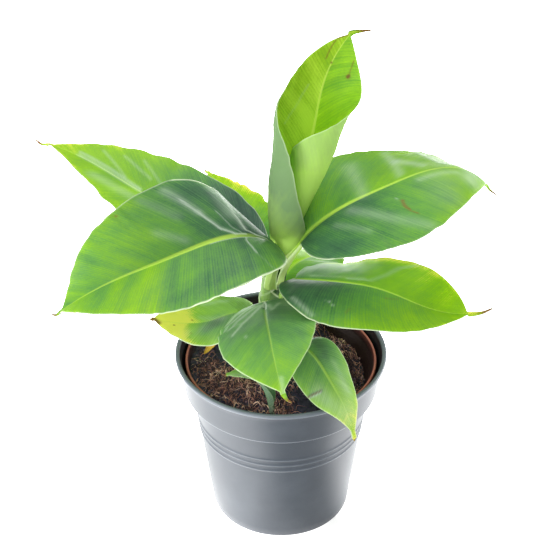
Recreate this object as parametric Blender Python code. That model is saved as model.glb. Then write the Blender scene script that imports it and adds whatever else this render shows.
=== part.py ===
"""A young dwarf banana plant in a grow pot, modelled at real size.

Sizes below are in millimetres, and MM turns them into metres as each mesh is made.  The origin is the
centre of the outer pot's flat underside, +Z is up, and the plant's fullest leaves spread along X.
"""
import math
from typing import NamedTuple

import bmesh
import bpy
import numpy as np

MM = 0.001
CLEARANCE = 0.3
SHARP_ANGLE = 50

# Outer pot: a moulded grow pot with a collar under its rim
POT_RIM_RADIUS = 85.0
POT_HEIGHT = 150.5
POT_RIM_WIDTH = 5.0
POT_RIM_HEIGHT = 5.0
POT_RIM_UNDERCUT = 2.0
POT_COLLAR_RADIUS = 78.5
POT_COLLAR_BOTTOM = 118.0
POT_STEP = 2.0
POT_BODY_TOP_RADIUS = 71.5
POT_FOOT_RADIUS = 57.0
POT_FOOT_CORNER = 2.0
POT_WALL = 2.6
POT_FLOOR = 3.0
POT_RIDGE_HEIGHTS = (80.0, 86.0, 92.0)
POT_RIDGE_RISE = 0.8
POT_RIDGE_WIDTH = 1.6
POT_SIDES = 64
CORNER_POINTS = 6

# Inner pot: the thin nursery pot that holds the root ball
LINER_RIM_RADIUS = 77.0
LINER_TOP = 143.0
LINER_LIP = 3.4
LINER_LIP_HEIGHT = 7.0
LINER_LIP_DRAFT = 0.6
LINER_SHOULDER = 119.0
LINER_SHOULDER_RADIUS = 67.4
LINER_FOOT_RADIUS = 52.0
LINER_WALL = 1.8
LINER_SIDES = 48
LINER_BOTTOM = POT_FLOOR + CLEARANCE
LINER_FLOOR_TOP = LINER_BOTTOM + LINER_WALL

# Potting mix: highest round the stem, sunk a little on the right
SOIL_TOP = 139.0
SOIL_EDGE_DROP = 4.0
SOIL_RIGHT_DROP = 5.0
SOIL_RINGS = 6
SOIL_HUB_SHARE = 0.08

# Pseudostem: centre and radius at evenly spaced heights from the potting mix to its flat top
STEM_CENTRES = ((-9.0, -4.0), (-8.5, -2.0), (-7.0, 1.0), (-3.5, 5.0))
STEM_RADII = (13.0, 10.4, 9.4, 9.0)
STEM_RINGS = 14
STEM_SIDES = 20

# Leaves
LEAF_THICKNESS_SHARE = 1.0 / 92.0
MARGIN_THICKNESS_SHARE = 0.7
RIB_HALF_WIDTH = 3.4
TAIL_HALF_WIDTH = 0.7
TAIL_THICKNESS = 1.3
TAIL_POINTS = 5
PETIOLE_POINTS = 5
PETIOLE_REACH = 0.9
PATH_STEPS = 300

# The scroll's halves are at least this wide where they leave the stem; that width fades out up the blade
SCROLL_FOOT_HALF = 27.0
SCROLL_FOOT_SHARE = 1.0 / 6.0
SCROLL_LEAST_SHARE = 0.02

# Leaves that hug the scroll's foot are cut this far clear of it, up to this height
HUG_CLEARANCE = 0.4
HUG_TOP = 290.0
HUGS_SCROLL = ("leaf_2_right_upper", "leaf_4_left_front")


class Leaf(NamedTuple):
    """One leaf's sizes; lists of angles run evenly along the blade from its base to its tip."""

    base: tuple
    foot: tuple
    length: float
    heading: tuple
    rise: tuple
    roll: tuple
    half_left: float
    half_right: float
    swell: float
    taper: float
    fold_left: tuple
    fold_right: tuple
    curl_left: tuple
    curl_right: tuple
    vein_sweep: tuple
    petiole_half: float = 3.0
    petiole_thick: float = 4.6
    tail: float = 8.0
    tail_turn: tuple = (0.0, -20.0)
    stations: int = 17
    half_cells: int = 4


LEAVES = {
    "leaf_2_right_upper": Leaf(
        base=(14.5, -7, 258), foot=(-2, -4, 219), length=165, heading=(-1, 7, 13), rise=(56, 28, 14, -53),
        roll=(26, 6, -11), half_left=56, half_right=56, swell=0.51, taper=0.86,
        fold_left=(22, -4, -7), fold_right=(22, -4, -7), curl_left=(-16, -25, -23),
        curl_right=(-16, -25, -23), vein_sweep=(0, 19, 13), tail=13, tail_turn=(-10, -25)),
    "leaf_3_right_lower": Leaf(
        base=(11, -5, 222), foot=(-4, -4, 190), length=138, heading=(-22, -15, -10), rise=(13, 3, -20, 8),
        roll=(-18, -3, 10), half_left=54, half_right=52, swell=0.52, taper=0.61,
        fold_left=(18, 0, 30), fold_right=(18, 0, 30), curl_left=(-22, -24, -3), curl_right=(-22, -24, -3),
        vein_sweep=(-24, -21, -7), tail=20, tail_turn=(10, 15)),
    "leaf_4_left_front": Leaf(
        base=(-5, -12, 260), foot=(-9, -6, 215), length=180, heading=(209, 201, 191),
        rise=(42, -7, -15, -35), roll=(4, -34, 5), half_left=54, half_right=54, swell=0.44, taper=1.03,
        fold_left=(6, 28, 8), fold_right=(6, 28, 8), curl_left=(-26, -9, -8), curl_right=(-26, -9, -8),
        vein_sweep=(-3, 25, 39), tail=7, tail_turn=(0, 25)),
    "leaf_5_left_back": Leaf(
        base=(-17, 8, 233), foot=(-8, 3, 200), length=192, heading=(157, 157, 156), rise=(32, 14, 23, 6),
        roll=(5, -6, 9), half_left=45, half_right=45, swell=0.51, taper=1.0,
        fold_left=(13, 18, 11), fold_right=(13, 18, 11), curl_left=(-17, -10, -6), curl_right=(-17, -10, -6),
        vein_sweep=(-18, 8, 21), tail=11, tail_turn=(0, 10)),
    "leaf_6_back_left": Leaf(
        base=(-13, 28, 217), foot=(-11.5, 5.5, 190), length=98, heading=(121, 122, 124),
        rise=(50, 31, 13, 9), roll=(0, 3, 5), half_left=28, half_right=28, swell=0.47, taper=1.0,
        fold_left=(15, 6, 3), fold_right=(15, 6, 3), curl_left=(-15, -16, -12), curl_right=(-15, -16, -12),
        vein_sweep=(-25, 14, 22), petiole_half=2.4, petiole_thick=3.8, tail=6, stations=13, half_cells=3),
    "leaf_7_back_right": Leaf(
        base=(0, 14, 207), foot=(-5, 4, 180), length=75, heading=(51, 53, 57), rise=(36, -16, -25, -19),
        roll=(-6, -5, -10), half_left=28, half_right=28, swell=0.5, taper=0.8,
        fold_left=(12, 4, 5), fold_right=(12, 4, 5), curl_left=(-16, -16, -10), curl_right=(-16, -16, -10),
        vein_sweep=(-15, 14, 25), petiole_half=2.2, petiole_thick=3.4, tail=6, stations=12, half_cells=3),
    "leaf_8_low_left": Leaf(
        base=(-19, -6, 191), foot=(-9, -3, 165), length=84, heading=(192, 192, 191), rise=(24, -16, 9, 24),
        roll=(0, -9, -8), half_left=26, half_right=26, swell=0.52, taper=0.9,
        fold_left=(2, 7, 7), fold_right=(2, 7, 7), curl_left=(-24, -19, -9), curl_right=(-24, -19, -9),
        vein_sweep=(-22, 10, 20), petiole_half=2.2, petiole_thick=3.4, tail=3, stations=12, half_cells=3),
    "leaf_9_front": Leaf(
        base=(-13, -16, 208), foot=(-9, -5, 176), length=102, heading=(271, 278, 288), rise=(7, 9, -24, -29),
        roll=(14, 19, 21), half_left=39, half_right=42, swell=0.53, taper=1.09,
        fold_left=(4, 6, 12), fold_right=(2, 3, 8), curl_left=(-28, -19, -6), curl_right=(-31, -21, -8),
        vein_sweep=(-26, 9, 11), petiole_half=2.4, petiole_thick=3.8, tail=10, tail_turn=(60, 10),
        stations=14, half_cells=3),
    "leaf_10_front_right": Leaf(
        base=(15, -25, 173.5), foot=(-6, -6, 150), length=92, heading=(305, 301, 297),
        rise=(16, -24, -28, -68), roll=(-2, -3, -6), half_left=25, half_right=25, swell=0.45, taper=1.27,
        fold_left=(16, -6, 6), fold_right=(16, -6, 6), curl_left=(-19, -25, -10), curl_right=(-19, -25, -10),
        vein_sweep=(-18, 21, 14), petiole_half=2.2, petiole_thick=3.4, tail=3, stations=13, half_cells=3),
    "sucker_leaf": Leaf(
        base=(-7, -63, 143), foot=(-7, -64, 136.9), length=50, heading=(140, 165, 185),
        rise=(80, 58, 14, -6), roll=(30, 20, 5), half_left=11, half_right=11, swell=0.7, taper=0.9,
        fold_left=(30, 12, 5), fold_right=(30, 12, 5), curl_left=(20, 0, 0), curl_right=(20, 0, 0),
        vein_sweep=(10, 15, 20), petiole_half=1.6, petiole_thick=2.6, tail=2, stations=10, half_cells=2),
}

# The newest leaf is still rolled into a scroll; its halves curve round on these radii from base to tip
SCROLL = Leaf(
    base=(-2, 13, 240), foot=(-6, 3, 210), length=190, heading=(8, -4, -11), rise=(80, 73, 81, 55),
    roll=(98, 80, 105), half_left=63, half_right=67, swell=0.3, taper=0.78,
    fold_left=(5, -15, 10), fold_right=(3, -8, 6), curl_left=(8, 17, 20, 22, 23, 29),
    curl_right=(6.5, 10.5, 15.5, 21, 29, 43), vein_sweep=(0, 22, -9), tail=15, tail_turn=(0, -45),
    stations=22, half_cells=8)


def along(values, u):
    """A smooth curve through evenly spaced values, read at u from 0 to 1."""
    v = np.asarray(values, float)
    v = np.concatenate([[2 * v[0] - v[1]], v, [2 * v[-1] - v[-2]]])
    x = np.clip(u, 0, 1) * (len(values) - 1)
    i = np.minimum(x.astype(int), len(values) - 2)
    t = x - i
    a, b, c, d = v[i], v[i + 1], v[i + 2], v[i + 3]
    return 0.5 * (2 * b + (c - a) * t + (2 * a - 5 * b + 4 * c - d) * t**2 + (3 * b - a - 3 * c + d) * t**3)


def unit(vectors):
    """Vectors scaled to length 1."""
    return vectors / np.linalg.norm(vectors, axis=-1, keepdims=True)


def path_from_angles(start, length, rise, heading):
    """Points a step apart along a curve that has these elevations and headings in degrees."""
    rise, heading = np.radians(rise), np.radians(heading)
    tangent = np.stack([np.cos(rise) * np.cos(heading), np.cos(rise) * np.sin(heading), np.sin(rise)], -1)
    step = length / (len(rise) - 1)
    steps = (tangent[1:] + tangent[:-1]) / 2 * step
    return np.concatenate([[start], start + np.cumsum(steps, 0)]), tangent


def petiole_points(leaf, tangent, count):
    """A curve that leaves the stem upwards and meets the blade's base along its midrib."""
    a, b = np.array(leaf.foot, float), np.array(leaf.base, float)
    reach = PETIOLE_REACH * np.linalg.norm(b - a)
    t = np.linspace(0, 1, count, endpoint=False)[:, None]
    up = np.array([0, 0, reach])
    ends = (2 * t**3 - 3 * t**2 + 1) * a + (3 * t**2 - 2 * t**3) * b
    return ends + (t**3 - 2 * t**2 + t) * up + (t**3 - t**2) * tangent * reach


def width_share(leaf, u):
    """The blade's half width as a share of its greatest, from a rounded base to a pointed tip."""
    widest = leaf.swell / (leaf.swell + leaf.taper)
    return (u / widest) ** leaf.swell * ((1 - u) / (1 - widest)) ** leaf.taper


def stations(leaf, rolled):
    """Every cross-section's place, axes and sizes, from the petiole's foot to the end of the tail."""
    fine = np.linspace(0, 1, PATH_STEPS)
    u = (1 - np.cos(np.linspace(0, math.pi, leaf.stations))) / 2
    blade, tangent = path_from_angles(
        np.array(leaf.base, float), leaf.length, along(leaf.rise, fine), along(leaf.heading, fine))
    points = np.stack([np.interp(u, fine, blade[:, i]) for i in range(3)], -1)
    petiole = np.zeros((0, 3)) if rolled else petiole_points(leaf, tangent[0], PETIOLE_POINTS)
    turn = np.linspace(0, 1, TAIL_POINTS)
    rise = leaf.rise[-1] + leaf.tail_turn[1] * turn
    heading = leaf.heading[-1] + leaf.tail_turn[0] * turn
    tail = path_from_angles(points[-1], leaf.tail, rise, heading)[0][1:]
    place = np.concatenate([petiole, points, tail])
    reached = np.concatenate([np.zeros(len(petiole)), u, np.ones(len(tail))])
    along_path = unit(np.gradient(place, axis=0))
    facing = np.radians(along(leaf.heading, reached))
    side = np.stack([-np.sin(facing), np.cos(facing), 0 * facing], -1)
    side = unit(side - (side * along_path).sum(-1, keepdims=True) * along_path)
    up = np.cross(along_path, side)
    roll = np.radians(along(leaf.roll, reached))[:, None]
    side, up = np.cos(roll) * side + np.sin(roll) * up, np.cos(roll) * up - np.sin(roll) * side
    number = np.arange(len(place))
    on_tail = number >= len(place) - len(tail) - 1
    share = np.where(on_tail | (number < len(petiole)), 0, width_share(leaf, reached))
    least = np.maximum(leaf.petiole_half * (1 - reached), TAIL_HALF_WIDTH)
    if rolled:
        least = SCROLL_FOOT_HALF * np.clip(1 - reached / SCROLL_FOOT_SHARE, SCROLL_LEAST_SHARE, 1)
    least = np.where(on_tail, TAIL_HALF_WIDTH, least)
    return place, along_path, side, up, reached, share, least, on_tail


def leaf_surfaces(leaf, rolled=False):
    """The upper and the under surface of a leaf as grids of points: stations by places across.

    Each half of a cross-section leaves the midrib at the fold angle and bends evenly by the curl angle
    on its way to the margin, as an arc does, and the veins' sweep carries it forward along the blade.
    """
    place, tangent, side, up, u, share, least, on_tail = stations(leaf, rolled)
    across = np.linspace(-1, 1, 2 * leaf.half_cells + 1)[None, :]
    reach = np.abs(across)

    def by_half(left_values, right_values):
        """Values of each station, spread over the left and the right half of its section."""
        return np.where(across >= 0, left_values[:, None], right_values[:, None])

    half = by_half(np.maximum(leaf.half_left * share, least), np.maximum(leaf.half_right * share, least))
    fold = np.radians(by_half(along(leaf.fold_left, u), along(leaf.fold_right, u)))
    curl = by_half(along(leaf.curl_left, u), along(leaf.curl_right, u))
    curl = half / curl if rolled else np.radians(curl)
    bend = reach * curl
    chord = reach * half * np.sinc(bend / 2 / math.pi)
    sideways = np.sign(across) * chord * np.cos(fold + bend / 2)
    lift = chord * np.sin(fold + bend / 2)
    forward = reach * half * np.tan(np.radians(along(leaf.vein_sweep, u)))[:, None]
    forward[on_tail] = 0
    top = place[:, None] + sideways[..., None] * side[:, None] + lift[..., None] * up[:, None]
    top += forward[..., None] * tangent[:, None]
    slope = (fold + bend) * np.sign(across)
    normal = np.cos(slope)[..., None] * up[:, None] - np.sin(slope)[..., None] * side[:, None]
    stalk = 0.0 if rolled else np.linalg.norm(np.subtract(leaf.base, leaf.foot))
    blade = LEAF_THICKNESS_SHARE * (leaf.length + leaf.tail + stalk)
    thick = blade * (1 - (1 - MARGIN_THICKNESS_SHARE) * reach**2) * np.ones_like(half)
    if not rolled:
        rib = (leaf.petiole_thick - blade) * np.exp(-((reach * half / RIB_HALF_WIDTH) ** 2))
        thick += np.maximum(rib, 0) * (1 - u)[:, None]
    thick[on_tail] = TAIL_THICKNESS
    return top, top - normal * thick[..., None]


def new_object(name, points, faces, material):
    """An object from points in millimetres and faces, shaded smooth except at sharp edges."""
    mesh = bpy.data.meshes.new(name)
    mesh.from_pydata((np.asarray(points) * MM).tolist(), [], faces)
    mesh.update()
    work = bmesh.new()
    work.from_mesh(mesh)
    bmesh.ops.triangulate(work, faces=work.faces[:])
    bmesh.ops.recalc_face_normals(work, faces=work.faces[:])
    work.to_mesh(mesh)
    work.free()
    mesh.shade_smooth()
    mesh.set_sharp_from_angle(angle=math.radians(SHARP_ANGLE))
    mesh.materials.append(material)
    piece = bpy.data.objects.new(name, mesh)
    bpy.context.collection.objects.link(piece)
    return piece


def loft(rings, close_ends=True):
    """Faces that join equal closed rings in order, with a fan over each end."""
    count, size = rings.shape[:2]
    points = rings.reshape(-1, 3)
    faces = []
    for i in range(count - 1):
        for j in range(size):
            k = (j + 1) % size
            faces.append((i * size + j, i * size + k, (i + 1) * size + k, (i + 1) * size + j))
    if close_ends:
        for ring in (0, count - 1):
            hub = len(points)
            points = np.concatenate([points, rings[ring].mean(0)[None]])
            faces += [(ring * size + j, ring * size + (j + 1) % size, hub) for j in range(size)]
    return points, faces


def strip_ends(rings):
    """Faces that close both ends of a thin section straight across, upper point to under point."""
    count, size = rings.shape[:2]
    half = size // 2
    faces = []
    for first in (0, (count - 1) * size):
        for j in range(half - 1):
            faces.append((first + j, first + j + 1, first + size - 2 - j, first + size - 1 - j))
    return faces


def make_leaf(name, leaf, material, rolled=False):
    """One leaf as a closed blade with its petiole and its thread of a tail."""
    top, under = leaf_surfaces(leaf, rolled)
    rings = np.concatenate([top, under[:, ::-1]], 1)
    points, faces = loft(rings, close_ends=False)
    return new_object(name, points, faces + strip_ends(rings), material)


def turned(profile, sides):
    """Rings of a shape turned about Z from its profile of (radius, height) pairs, as one closed loop."""
    angle = np.linspace(0, 2 * math.pi, sides, endpoint=False)
    radius, height = np.array(profile, float).T
    return np.stack([np.outer(radius, np.cos(angle)), np.outer(radius, np.sin(angle)),
                     np.repeat(height[:, None], sides, 1)], -1)


def arc(centre, radius, start, end, count):
    """Points of a profile's round corner, from one angle to another in degrees."""
    angle = np.radians(np.linspace(start, end, count))
    return [(centre[0] + radius * math.cos(a), centre[1] + radius * math.sin(a)) for a in angle]


def make_outer_pot(material):
    """The grow pot: rolled rim, collar, step, tapering body with three raised ridges, and a flat floor."""
    corner = POT_RIM_WIDTH / 2
    rim_centre = (POT_RIM_RADIUS - corner, POT_HEIGHT - corner)
    outside = arc((POT_FOOT_RADIUS - POT_FOOT_CORNER, POT_FOOT_CORNER), POT_FOOT_CORNER, -90, 0, 3)
    slope = (POT_BODY_TOP_RADIUS - POT_FOOT_RADIUS) / POT_COLLAR_BOTTOM
    for height in POT_RIDGE_HEIGHTS:
        wall = POT_FOOT_RADIUS + slope * height
        outside.append((wall, height - POT_RIDGE_WIDTH))
        outside.append((wall + POT_RIDGE_RISE, height))
        outside.append((wall, height + POT_RIDGE_WIDTH))
    outside.append((POT_BODY_TOP_RADIUS, POT_COLLAR_BOTTOM - POT_STEP))
    outside.append((POT_COLLAR_RADIUS - POT_STEP / 2, POT_COLLAR_BOTTOM))
    outside.append((POT_COLLAR_RADIUS, POT_COLLAR_BOTTOM + POT_STEP / 2))
    outside.append((POT_RIM_RADIUS - POT_RIM_UNDERCUT, POT_HEIGHT - POT_RIM_HEIGHT - POT_STEP / 2))
    outside += arc(rim_centre, corner, -20, 180, CORNER_POINTS)
    inside = [
        (POT_RIM_RADIUS - POT_RIM_WIDTH, POT_HEIGHT - POT_RIM_HEIGHT),
        (POT_COLLAR_RADIUS - POT_WALL, POT_COLLAR_BOTTOM + POT_STEP / 2),
        (POT_BODY_TOP_RADIUS - POT_WALL, POT_COLLAR_BOTTOM - POT_STEP),
        (POT_FOOT_RADIUS - POT_WALL, POT_FLOOR),
    ]
    points, faces = loft(turned(outside + inside, POT_SIDES))
    return new_object("outer_pot", points, faces, material)


def liner_inner_radius(height):
    """The inner pot's inside radius at a height."""
    heights = (LINER_FLOOR_TOP, LINER_SHOULDER, LINER_TOP - LINER_LIP_HEIGHT, LINER_TOP)
    lip = LINER_RIM_RADIUS - LINER_LIP
    radii = (LINER_FOOT_RADIUS - LINER_WALL, LINER_SHOULDER_RADIUS - LINER_WALL, lip - LINER_LIP_DRAFT, lip)
    return np.interp(height, heights, radii)


def make_inner_pot(material):
    """The nursery pot: it rests on the outer pot's floor and flares above its shoulder to a small lip."""
    lip_bottom = LINER_TOP - LINER_LIP_HEIGHT
    corner = LINER_LIP / 2
    outside = [
        (LINER_FOOT_RADIUS, LINER_BOTTOM),
        (LINER_SHOULDER_RADIUS, LINER_SHOULDER),
        (LINER_RIM_RADIUS - LINER_LIP + LINER_WALL / 2, lip_bottom - LINER_WALL / 2),
        (LINER_RIM_RADIUS, lip_bottom),
    ]
    outside += arc((LINER_RIM_RADIUS - corner, LINER_TOP - corner), corner, 0, 180, 4)
    inside = [(float(liner_inner_radius(h)), h) for h in (lip_bottom, LINER_SHOULDER, LINER_FLOOR_TOP)]
    points, faces = loft(turned(outside + inside, LINER_SIDES))
    return new_object("inner_pot", points, faces, material)


def soil_height(x, y):
    """Height of the potting mix: a low mound that falls to the edge, and more on the right."""
    edge = np.hypot(x, y) / liner_inner_radius(SOIL_TOP)
    right = np.clip(x / liner_inner_radius(SOIL_TOP), 0, 1)
    return SOIL_TOP - SOIL_EDGE_DROP * edge**3 - SOIL_RIGHT_DROP * right**2


def make_soil(material):
    """The root ball: it fills the inner pot 0.3 mm clear of its wall and floor."""
    low = LINER_FLOOR_TOP + CLEARANCE
    angle = np.linspace(0, 2 * math.pi, LINER_SIDES, endpoint=False)
    rings = [turned([(liner_inner_radius(h) - CLEARANCE, h)], LINER_SIDES)[0] for h in (low, LINER_SHOULDER)]
    radius = liner_inner_radius(SOIL_TOP - SOIL_EDGE_DROP - SOIL_RIGHT_DROP) - CLEARANCE
    for share in np.linspace(1, SOIL_HUB_SHARE, SOIL_RINGS):
        x, y = radius * share * np.cos(angle), radius * share * np.sin(angle)
        rings.append(np.stack([x, y, soil_height(x, y)], -1))
    points, faces = loft(np.array(rings))
    return new_object("soil", points, faces, material)


def stem_axis(t):
    """The pseudostem's centre and radius at t from 0 at the potting mix to 1 under the scroll."""
    heights = np.linspace(SOIL_TOP + CLEARANCE, SCROLL.base[2] - CLEARANCE, len(STEM_CENTRES))
    x, y = np.array(STEM_CENTRES).T
    centre = np.stack([along(x, t), along(y, t), along(heights, t)], -1)
    return centre, along(STEM_RADII, t)


def make_stem(name, grow, material):
    """The pseudostem of wrapped leaf bases: a leaning taper with a flat foot and a flat top."""
    t = np.linspace(0, 1, STEM_RINGS)
    centre, radius = stem_axis(t)
    angle = np.linspace(0, 2 * math.pi, STEM_SIDES, endpoint=False)
    circle = np.stack([np.cos(angle), np.sin(angle), 0 * angle], -1)
    rings = centre[:, None] + (radius + grow)[:, None, None] * circle[None]
    rings[0, :, 2] -= grow
    rings[-1, :, 2] += grow
    points, faces = loft(rings)
    return new_object(name, points, faces, material)


def make_scroll_cutter(name, material):
    """The room the scroll's foot takes up: its lower part wrapped tightly and grown by the clearance."""
    top, under = leaf_surfaces(SCROLL, rolled=True)
    outward = unit(top - under) * HUG_CLEARANCE
    low = top[:, SCROLL.half_cells, 2] < HUG_TOP
    points = np.concatenate([(top + outward)[low].reshape(-1, 3), (under - outward)[low].reshape(-1, 3)])
    points = np.concatenate([points, points - (0, 0, HUG_CLEARANCE)])
    mesh = bpy.data.meshes.new(name)
    work = bmesh.new()
    for point in points * MM:
        work.verts.new(point)
    hull = bmesh.ops.convex_hull(work, input=work.verts[:])
    bmesh.ops.delete(work, geom=hull["geom_interior"], context="VERTS")
    bmesh.ops.recalc_face_normals(work, faces=work.faces[:])
    work.to_mesh(mesh)
    work.free()
    mesh.materials.append(material)
    piece = bpy.data.objects.new(name, mesh)
    bpy.context.collection.objects.link(piece)
    return piece


def cut(piece, cutter):
    """Cuts one piece clear of another's grown copy."""
    step = piece.modifiers.new("clear of " + cutter.name, "BOOLEAN")
    step.operation = "DIFFERENCE"
    step.solver = "EXACT"
    step.object = cutter


def new_material(name, colour, roughness):
    """A plain material in the part's own colour."""
    material = bpy.data.materials.new(name)
    material.use_nodes = True
    shader = material.node_tree.nodes["Principled BSDF"]
    shader.inputs["Base Color"].default_value = (*colour, 1.0)
    shader.inputs["Roughness"].default_value = roughness
    return material


def main():
    """Builds the pots, the potting mix, the pseudostem and the leaves."""
    for old in list(bpy.data.objects):
        bpy.data.objects.remove(old, do_unlink=True)
    make_outer_pot(new_material("anthracite_plastic", (0.13, 0.16, 0.19), 0.45))
    make_inner_pot(new_material("terracotta_plastic", (0.42, 0.12, 0.07), 0.55))
    make_soil(new_material("coir_potting_mix", (0.035, 0.018, 0.012), 0.95))
    stem_material = new_material("stem_sheath", (0.36, 0.52, 0.10), 0.5)
    make_stem("pseudostem", 0.0, stem_material)
    stem_cutter = make_stem("stem_cutter", CLEARANCE, stem_material)
    scroll_cutter = make_scroll_cutter("scroll_cutter", stem_material)
    for tool in (stem_cutter, scroll_cutter):
        tool.hide_render = True
        tool.display_type = "WIRE"
    young_material = new_material("young_leaf", (0.22, 0.48, 0.03), 0.45)
    cut(make_leaf("leaf_1_scroll", SCROLL, young_material, rolled=True), stem_cutter)
    leaf_material = new_material("leaf_green", (0.08, 0.26, 0.04), 0.4)
    for name, leaf in LEAVES.items():
        piece = make_leaf(name, leaf, leaf_material)
        if name != "sucker_leaf":
            cut(piece, stem_cutter)
        if name in HUGS_SCROLL:
            cut(piece, scroll_cutter)


main()
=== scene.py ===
"""Looks for a young dwarf banana plant that stands in a grow pot.

The packed solids give each leaf, the pseudostem, the pots and the potting mix its place.  Here each of
them is drawn again from the same driving sizes as a finer surface, worked out with numpy, and dressed
with a finish worked out by nodes.  Sizes are in millimetres and angles in degrees; MM turns them into
metres as each mesh is made.  The origin is the centre of the outer pot's underside, and +Z is up.
"""

import logging
import math
from dataclasses import dataclass, field
from enum import Enum

import bpy
import numpy as np
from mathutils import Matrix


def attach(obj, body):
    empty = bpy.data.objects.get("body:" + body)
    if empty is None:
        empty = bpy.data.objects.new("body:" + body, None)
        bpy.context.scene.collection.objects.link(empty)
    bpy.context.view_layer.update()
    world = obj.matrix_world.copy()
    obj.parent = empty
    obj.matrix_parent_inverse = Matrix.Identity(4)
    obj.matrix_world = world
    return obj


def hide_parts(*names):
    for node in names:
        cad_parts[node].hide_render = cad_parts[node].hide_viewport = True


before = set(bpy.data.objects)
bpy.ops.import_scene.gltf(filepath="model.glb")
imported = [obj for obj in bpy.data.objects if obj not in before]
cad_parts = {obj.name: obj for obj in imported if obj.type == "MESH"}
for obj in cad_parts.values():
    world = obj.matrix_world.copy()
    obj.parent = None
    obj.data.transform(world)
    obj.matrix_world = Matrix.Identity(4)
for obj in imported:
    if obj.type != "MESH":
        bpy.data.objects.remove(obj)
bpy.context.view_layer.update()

LOG = logging.getLogger("banana_plant")
Array = np.ndarray
Point = tuple[float, float, float]
Angles = tuple[float, ...]
Pair = tuple[float, float]
Spot = Pair
Material, Nodes = bpy.types.Material, bpy.types.NodeTree
Socket, Piece = bpy.types.NodeSocket, bpy.types.Object

MM = 0.001
CM_PER_MM = 0.1

# Height of the mix at its middle, which several pieces share
SOIL_TOP = 139.0

# A wave texture of the bands kind repeats every 0.314 of its own units
WAVE_REPEAT = 0.314


def along(values: Angles, u: Array) -> Array:
    """A smooth curve (Catmull-Rom) through evenly spaced values, read at u from 0 to 1.

    Args:
        values: the values it passes through, the first at u = 0 and the last at u = 1.
        u: where to read it.

    Returns:
        One value for each entry of u.
    """
    v = np.asarray(values, float)
    v = np.concatenate([[2 * v[0] - v[1]], v, [2 * v[-1] - v[-2]]])
    x = np.clip(u, 0, 1) * (len(values) - 1)
    i = np.minimum(x.astype(int), len(values) - 2)
    t = x - i
    a, b, c, d = v[i], v[i + 1], v[i + 2], v[i + 3]
    return 0.5 * (2 * b + (c - a) * t + (2 * a - 5 * b + 4 * c - d) * t**2 + (3 * b - a - 3 * c + d) * t**3)


def unit(vectors: Array) -> Array:
    """Vectors scaled to length 1."""
    return vectors / np.maximum(np.linalg.norm(vectors, axis=-1, keepdims=True), 1e-9)


def between(ends: Pair, share: Array) -> Array:
    """The value that lies a share of the way from the first end to the second."""
    return ends[0] + (ends[1] - ends[0]) * share


def step(low: float, high: float, x: Array) -> Array:
    """A smooth rise from 0 where x is at low to 1 where it is at high."""
    t = np.clip((x - low) / (high - low), 0, 1)
    return t * t * (3 - 2 * t)


def noise(x: Array, y: Array, seed: int) -> Array:
    """Smooth seeded noise from -1 to 1: random heights at whole numbers, eased between them.

    Args:
        x: first coordinate, where one unit is one grain.
        y: second coordinate, of the same shape.
        seed: number that fixes the random heights.

    Returns:
        Noise of the same shape as x.
    """
    size = 64
    table = np.random.default_rng(seed).uniform(-1, 1, (size, size))
    xi, yi = np.floor(x).astype(int), np.floor(y).astype(int)
    fx, fy = step(0, 1, x - xi), step(0, 1, y - yi)
    near = table[xi % size, yi % size] * (1 - fx) + table[(xi + 1) % size, yi % size] * fx
    far = table[xi % size, (yi + 1) % size] * (1 - fx) + table[(xi + 1) % size, (yi + 1) % size] * fx
    return near * (1 - fy) + far * fy


def distance_to_path(x: Array, y: Array, path: list[Spot]) -> Array:
    """Distance from each point of a flat field to a line through a few spots.

    Args:
        x: first coordinate of the field's points.
        y: second coordinate of the field's points.
        path: the line's spots, in the same units.

    Returns:
        The distance to the nearest of the line's straight runs.
    """
    nearest = np.full(np.broadcast(x, y).shape, np.inf)
    for (ax, ay), (bx, by) in zip(path[:-1], path[1:]):
        run = max((bx - ax) ** 2 + (by - ay) ** 2, 1e-9)
        t = np.clip(((x - ax) * (bx - ax) + (y - ay) * (by - ay)) / run, 0, 1)
        nearest = np.minimum(nearest, np.hypot(x - ax - t * (bx - ax), y - ay - t * (by - ay)))
    return nearest


def grid_faces(rows: int, columns: int, turn: bool = False) -> Array:
    """Four-sided faces that join closed rings of points, numbered ring by ring.

    Args:
        rows: number of rings.
        columns: number of points in a ring.
        turn: turn each face over.

    Returns:
        Point numbers, four to a face.
    """
    i, j = np.meshgrid(np.arange(rows - 1), np.arange(columns), indexing="ij")
    k = (j + 1) % columns
    corners = [i * columns + j, i * columns + k, (i + 1) * columns + k, (i + 1) * columns + j]
    return np.stack(corners[::-1] if turn else corners, -1).reshape(-1, 4)


def shell_faces(count: int, size: int) -> list[Array]:
    """Faces of a thin closed shell: its rings of points, and the strips that close its two ends.

    Args:
        count: number of rings.
        size: points in a ring, the first half of them across the top and the rest back below it.

    Returns:
        The blocks of faces.
    """
    j = np.arange(size // 2 - 1)
    start = np.stack([j, j + 1, size - 2 - j, size - 1 - j], -1)
    return [grid_faces(count, size, turn=True), start, (start + (count - 1) * size)[:, ::-1]]


def circle(sides: int) -> Array:
    """Points of a unit circle about Z, evenly spaced from +X."""
    turn = np.linspace(0, 2 * math.pi, sides, endpoint=False)
    return np.stack([np.cos(turn), np.sin(turn), 0 * turn], -1)


def capped(rings: Array, hubs: Array) -> tuple[Array, list[Array]]:
    """A closed shape: rings of points, with a fan of triangles from each end ring to its hub.

    Args:
        rings: the points, by ring from the bottom up and by place round it.
        hubs: the two middle points, the bottom one first.

    Returns:
        The points, the hubs last, and the blocks of faces.
    """
    count, sides = rings.shape[:2]
    spoke = np.arange(sides)
    follow, last, hub = (spoke + 1) % sides, (count - 1) * sides, 0 * spoke + count * sides
    fans = [np.stack([follow, spoke, hub], -1), np.stack([last + spoke, last + follow, hub + 1], -1)]
    return np.concatenate([rings.reshape(-1, 3), hubs]), [grid_faces(count, sides), *fans]


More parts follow.
